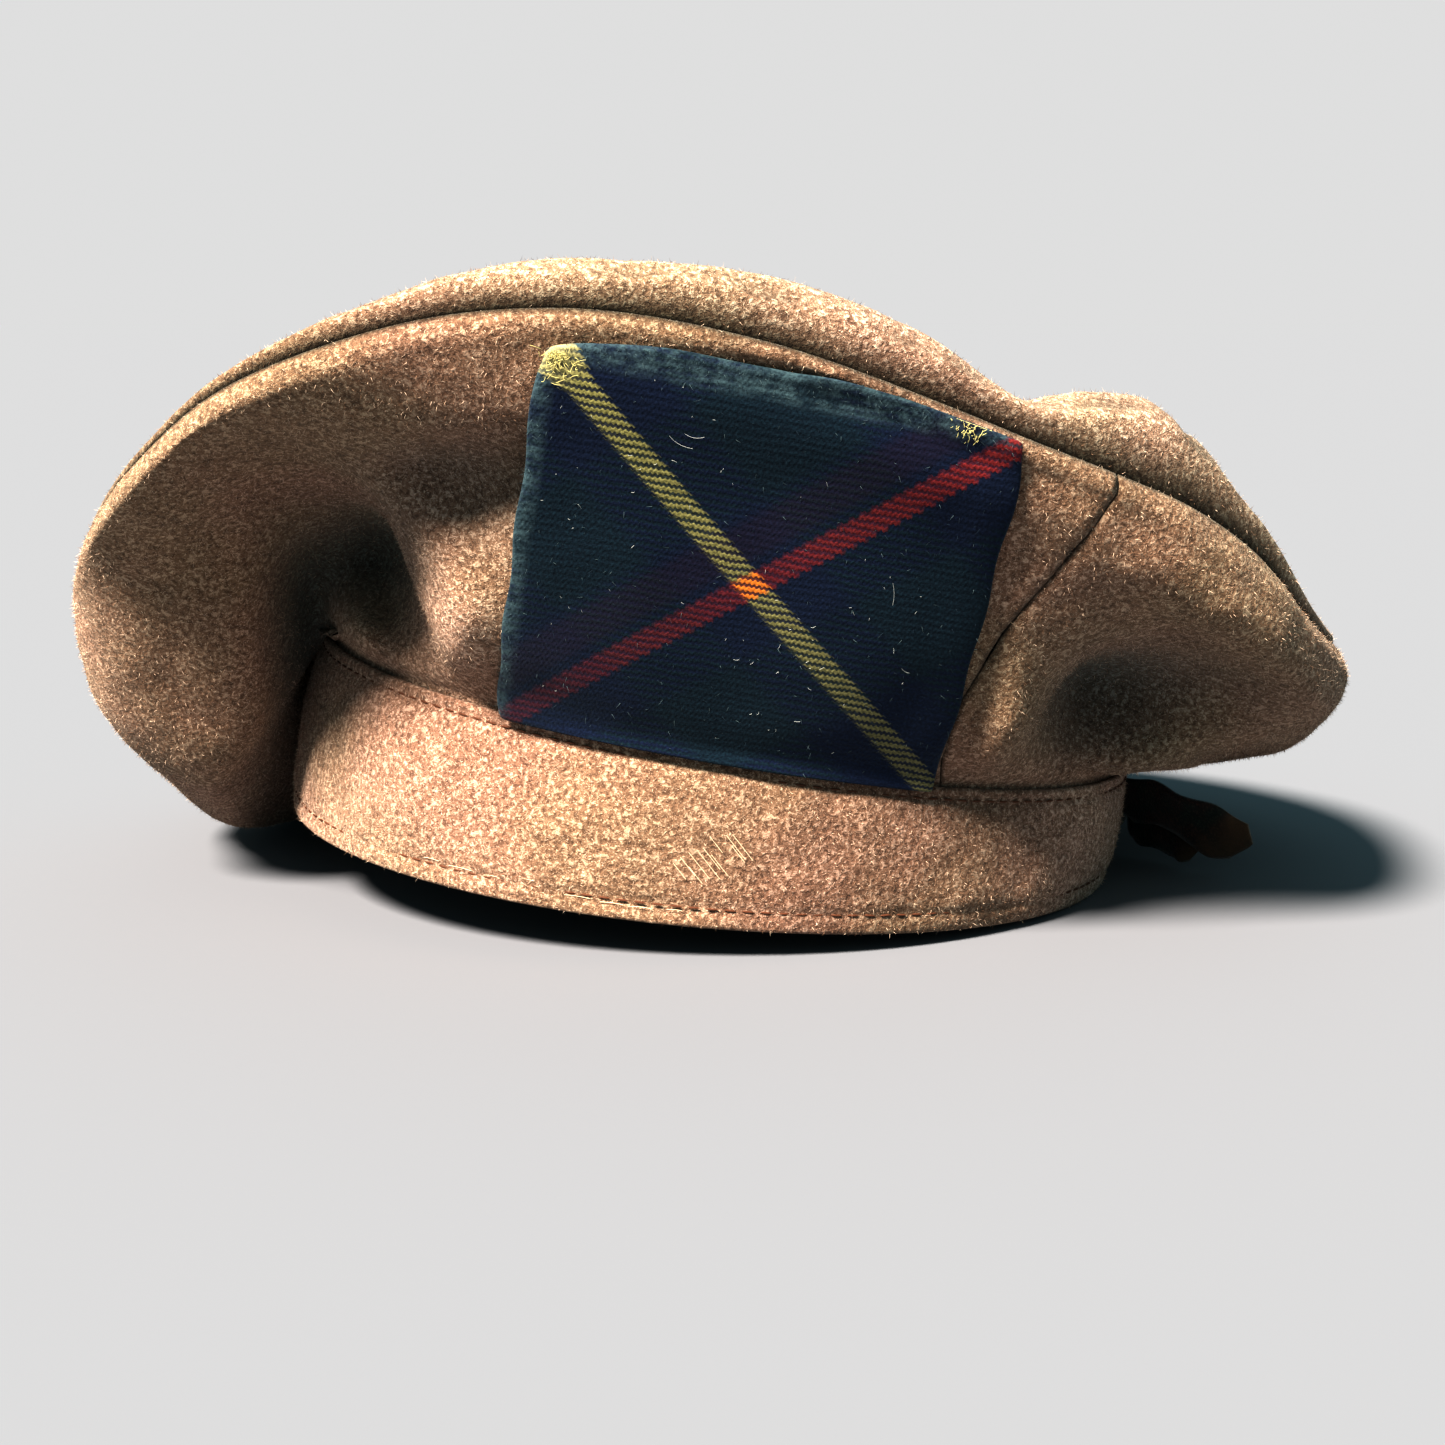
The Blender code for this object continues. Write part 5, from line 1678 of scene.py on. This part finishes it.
wool = wool_group()
crown_wool = wool_finish("crown_wool", wool, CROWN_WOOL_COLOURS)
band_wool = wool_finish("band_wool", wool, BAND_WOOL_COLOURS)
tartan = tartan_finish()
tape = tape_finish()
hair_middling = plain_finish("wool_hair", (0.26, 0.157, 0.100), 0.7)
hair_pale = plain_finish("wool_hair_pale", (0.66, 0.50, 0.385), 0.7)
hair_dark = plain_finish("wool_hair_dark", (0.09, 0.046, 0.027), 0.8)
sewing = plain_finish("sewing_thread", (0.095, 0.036, 0.018), 0.7)
pale_thread = plain_finish("pale_thread", (0.58, 0.45, 0.32), 0.7)
navy_hair = plain_finish("tartan_hair", (0.010, 0.020, 0.030), 0.8)
teal_hair = plain_finish("tartan_hair_teal", (0.075, 0.105, 0.110), 0.8)
yellow_hair = plain_finish("tartan_hair_yellow", (0.62, 0.54, 0.24), 0.7)
lint = plain_finish("lint", (0.50, 0.50, 0.47), 0.7)

side_front = side_panel("crown_side_front_cloth", PANEL_SEAM_FAR, PANEL_SEAM_NEAR, crown_wool)
side_back = side_panel("crown_side_back_cloth", PANEL_SEAM_NEAR, PANEL_SEAM_FAR + 360, crown_wool)
top = crown_top("crown_top_cloth", crown_wool)
band = head_band("headband_cloth", band_wool)
square = patch("tartan_patch_cloth", tartan)

nap = nap_tree()
wool_tones = {"Middling": hair_middling, "Pale": hair_pale, "Dark": hair_dark}
hairs = []
for number, (cloth, node, slot, density) in enumerate((
    (side_front, "crown_side_front", "crown_wool", SIDE_NAP_DENSITY),
    (side_back, "crown_side_back", "crown_wool", SIDE_NAP_DENSITY),
    (top, "crown_top", "crown_wool", TOP_NAP_DENSITY),
    (band, "headband", "band_wool", BAND_NAP_DENSITY),
)):
    fuzz = grown(node + "_nap", cloth.data, nap, Hairs_per_square_metre=density,
                 Seed=number + 1, **WOOL_NAP, **wool_tones)
    hairs.append((fuzz, slot))
fuzz = grown("tartan_patch_nap", square.data, nap, Seed=9, Middling=navy_hair, Pale=teal_hair,
             Dark=navy_hair, **PATCH_NAP)
hairs.append((fuzz, "tartan"))

side_front = with_cloth(side_front, WOOL)
side_back = with_cloth(side_back, WOOL)
top = with_cloth(top, WOOL)
upper = tape_tail("tie_tail_upper_tape", TAIL_UPPER_ROWS, tape)
lower = tape_tail("tie_tail_lower_tape", TAIL_LOWER_ROWS, tape)
tied = knot("tie_knot_tape", tape)

stitch = stitch_tree()
sewn = []
round_turn = all_round(BAND_COLUMNS)
_, band_tall = band_length(round_turn)
for label, rise in (("upper", band_tall - BAND_STITCH_FROM_TOP),
                    ("lower", BAND_STITCH_FROM_EDGE)):
    row = band_point(round_turn, rise, BAND_STITCH_SINK - 0.05)
    outward = row - band_point(round_turn, rise, 1.0)
    path = stitch_path("headband_stitches_" + label, row, outward)
    sewn.append(grown("headband_stitches_" + label, path, stitch, Seed=3, Material=sewing,
                      **BAND_STITCHES))

pale_lines = []
for x, rise, reach in BASTING_ROWS:
    pale_lines.append(
        [on_band(x + reach * k, rise + BASTING_BOW * (k == 0.5)) for k in (0, 0.5, 1)]
    )
for x, rise, reach in WORN_ROWS:
    pale_lines.append([on_band(x + reach * k, rise - reach * k) for k in (0, 0.5, 1)])
sewn.append(threads("headband_loose_threads", pale_lines, LOOSE_THREAD_RADIUS, pale_thread))
chance = np.random.default_rng(4)
fibres = []
for across, up, count, spread, length in TUFT_ROWS:
    starts = np.array((across, up)) + chance.normal(0, spread / PATCH_SIDE, (count, 2))
    fibres.append(short_hairs(starts, length, count))
fibres = on_patch(np.concatenate(fibres), TUFT_LIFTS)
sewn.append(threads("tartan_patch_tufts", fibres, TUFT_RADIUS, yellow_hair))
specks = short_hairs(chance.uniform(0.03, 0.95, (LINT_SPECKS, 2)), LINT_SPECK_LENGTH, 5)
lines = on_patch(np.concatenate([LINT_LINES, specks]), LINT_LIFTS)
sewn.append(threads("tartan_patch_lint", lines, LINT_RADIUS, lint))

for piece, node, slot in (
    (side_front, "crown_side_front", "crown_wool"), (side_back, "crown_side_back", "crown_wool"),
    (top, "crown_top", "crown_wool"), (band, "headband", "band_wool"),
    (square, "tartan_patch", "tartan"), (upper, "tie_tail_upper", "tape"),
    (lower, "tie_tail_lower", "tape"), (tied, "tie_knot", "tape"),
):
    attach(piece, "root")
    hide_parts(node)
for piece, slot in hairs:
    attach(piece, "root")
for piece in sewn:
    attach(piece, "root")

# Floor, light and camera -------------------------------------------------------------------


def studio():
    """A pale floor that looks as bright as the sky behind it, and one broad sun from the
    left of the camera and above."""
    floor_mesh = bpy.data.meshes.new("floor")
    s = FLOOR_HALF
    floor_mesh.from_pydata([(-s, -s, 0), (s, -s, 0), (s, s, 0), (-s, s, 0)], [], [(0, 1, 2, 3)])
    pale, _, shader = new_material("pale_floor", specular=0.0)
    sky = SKY_STRENGTH * np.array(SKY_COLOUR)
    backdrop = BACKDROP_STRENGTH * np.ones(3)
    key_light = KEY_STRENGTH / np.pi * np.sin(np.radians(KEY_HEIGHT_ANGLE)) * np.array(KEY_COLOUR)
    shader.inputs["Base Color"].default_value = (*(backdrop / (key_light + sky)), 1)
    shader.inputs["Roughness"].default_value = 1.0
    floor = new_object("floor", floor_mesh, pale)
    world = bpy.data.worlds.new("studio")
    bpy.context.scene.world = world
    world.use_nodes = True
    t = Tree(world.node_tree)
    seen = t.add("ShaderNodeLightPath").outputs["Is Camera Ray"]
    background = world.node_tree.nodes["Background"]
    t.put(background, "Color", t.mix(seen, (*sky, 1), (*backdrop, 1)))
    t.put(background, "Strength", 1.0)
    key = bpy.data.lights.new("key", "SUN")
    key.angle = np.radians(KEY_WIDTH)
    key.energy = KEY_STRENGTH
    key.color = KEY_COLOUR
    lamp = linked("key", key)
    aim(lamp, Vector(direction(KEY_AZIMUTH, KEY_HEIGHT_ANGLE)), Vector())
    view = bpy.context.scene.view_settings
    view.view_transform = "Standard"
    view.exposure = EXPOSURE
    view.gamma = CONTRAST_GAMMA


def aim(made, where, at):
    """Puts a lamp or a camera somewhere, looking at a point."""
    made.location = where
    made.rotation_euler = (at - where).to_track_quat("-Z", "Y").to_euler()


def camera():
    """The camera where the photograph was taken from."""
    target = Vector(framed(CAMERA_TARGET))
    data = bpy.data.cameras.new("camera")
    data.lens = CAMERA_LENS
    data.sensor_width = CAMERA_SENSOR
    made = linked("camera", data)
    away = Vector(camera_way()[0])
    aim(made, target + away * CAMERA_DISTANCE * MM, target)
    bpy.context.scene.camera = made


studio()
camera()
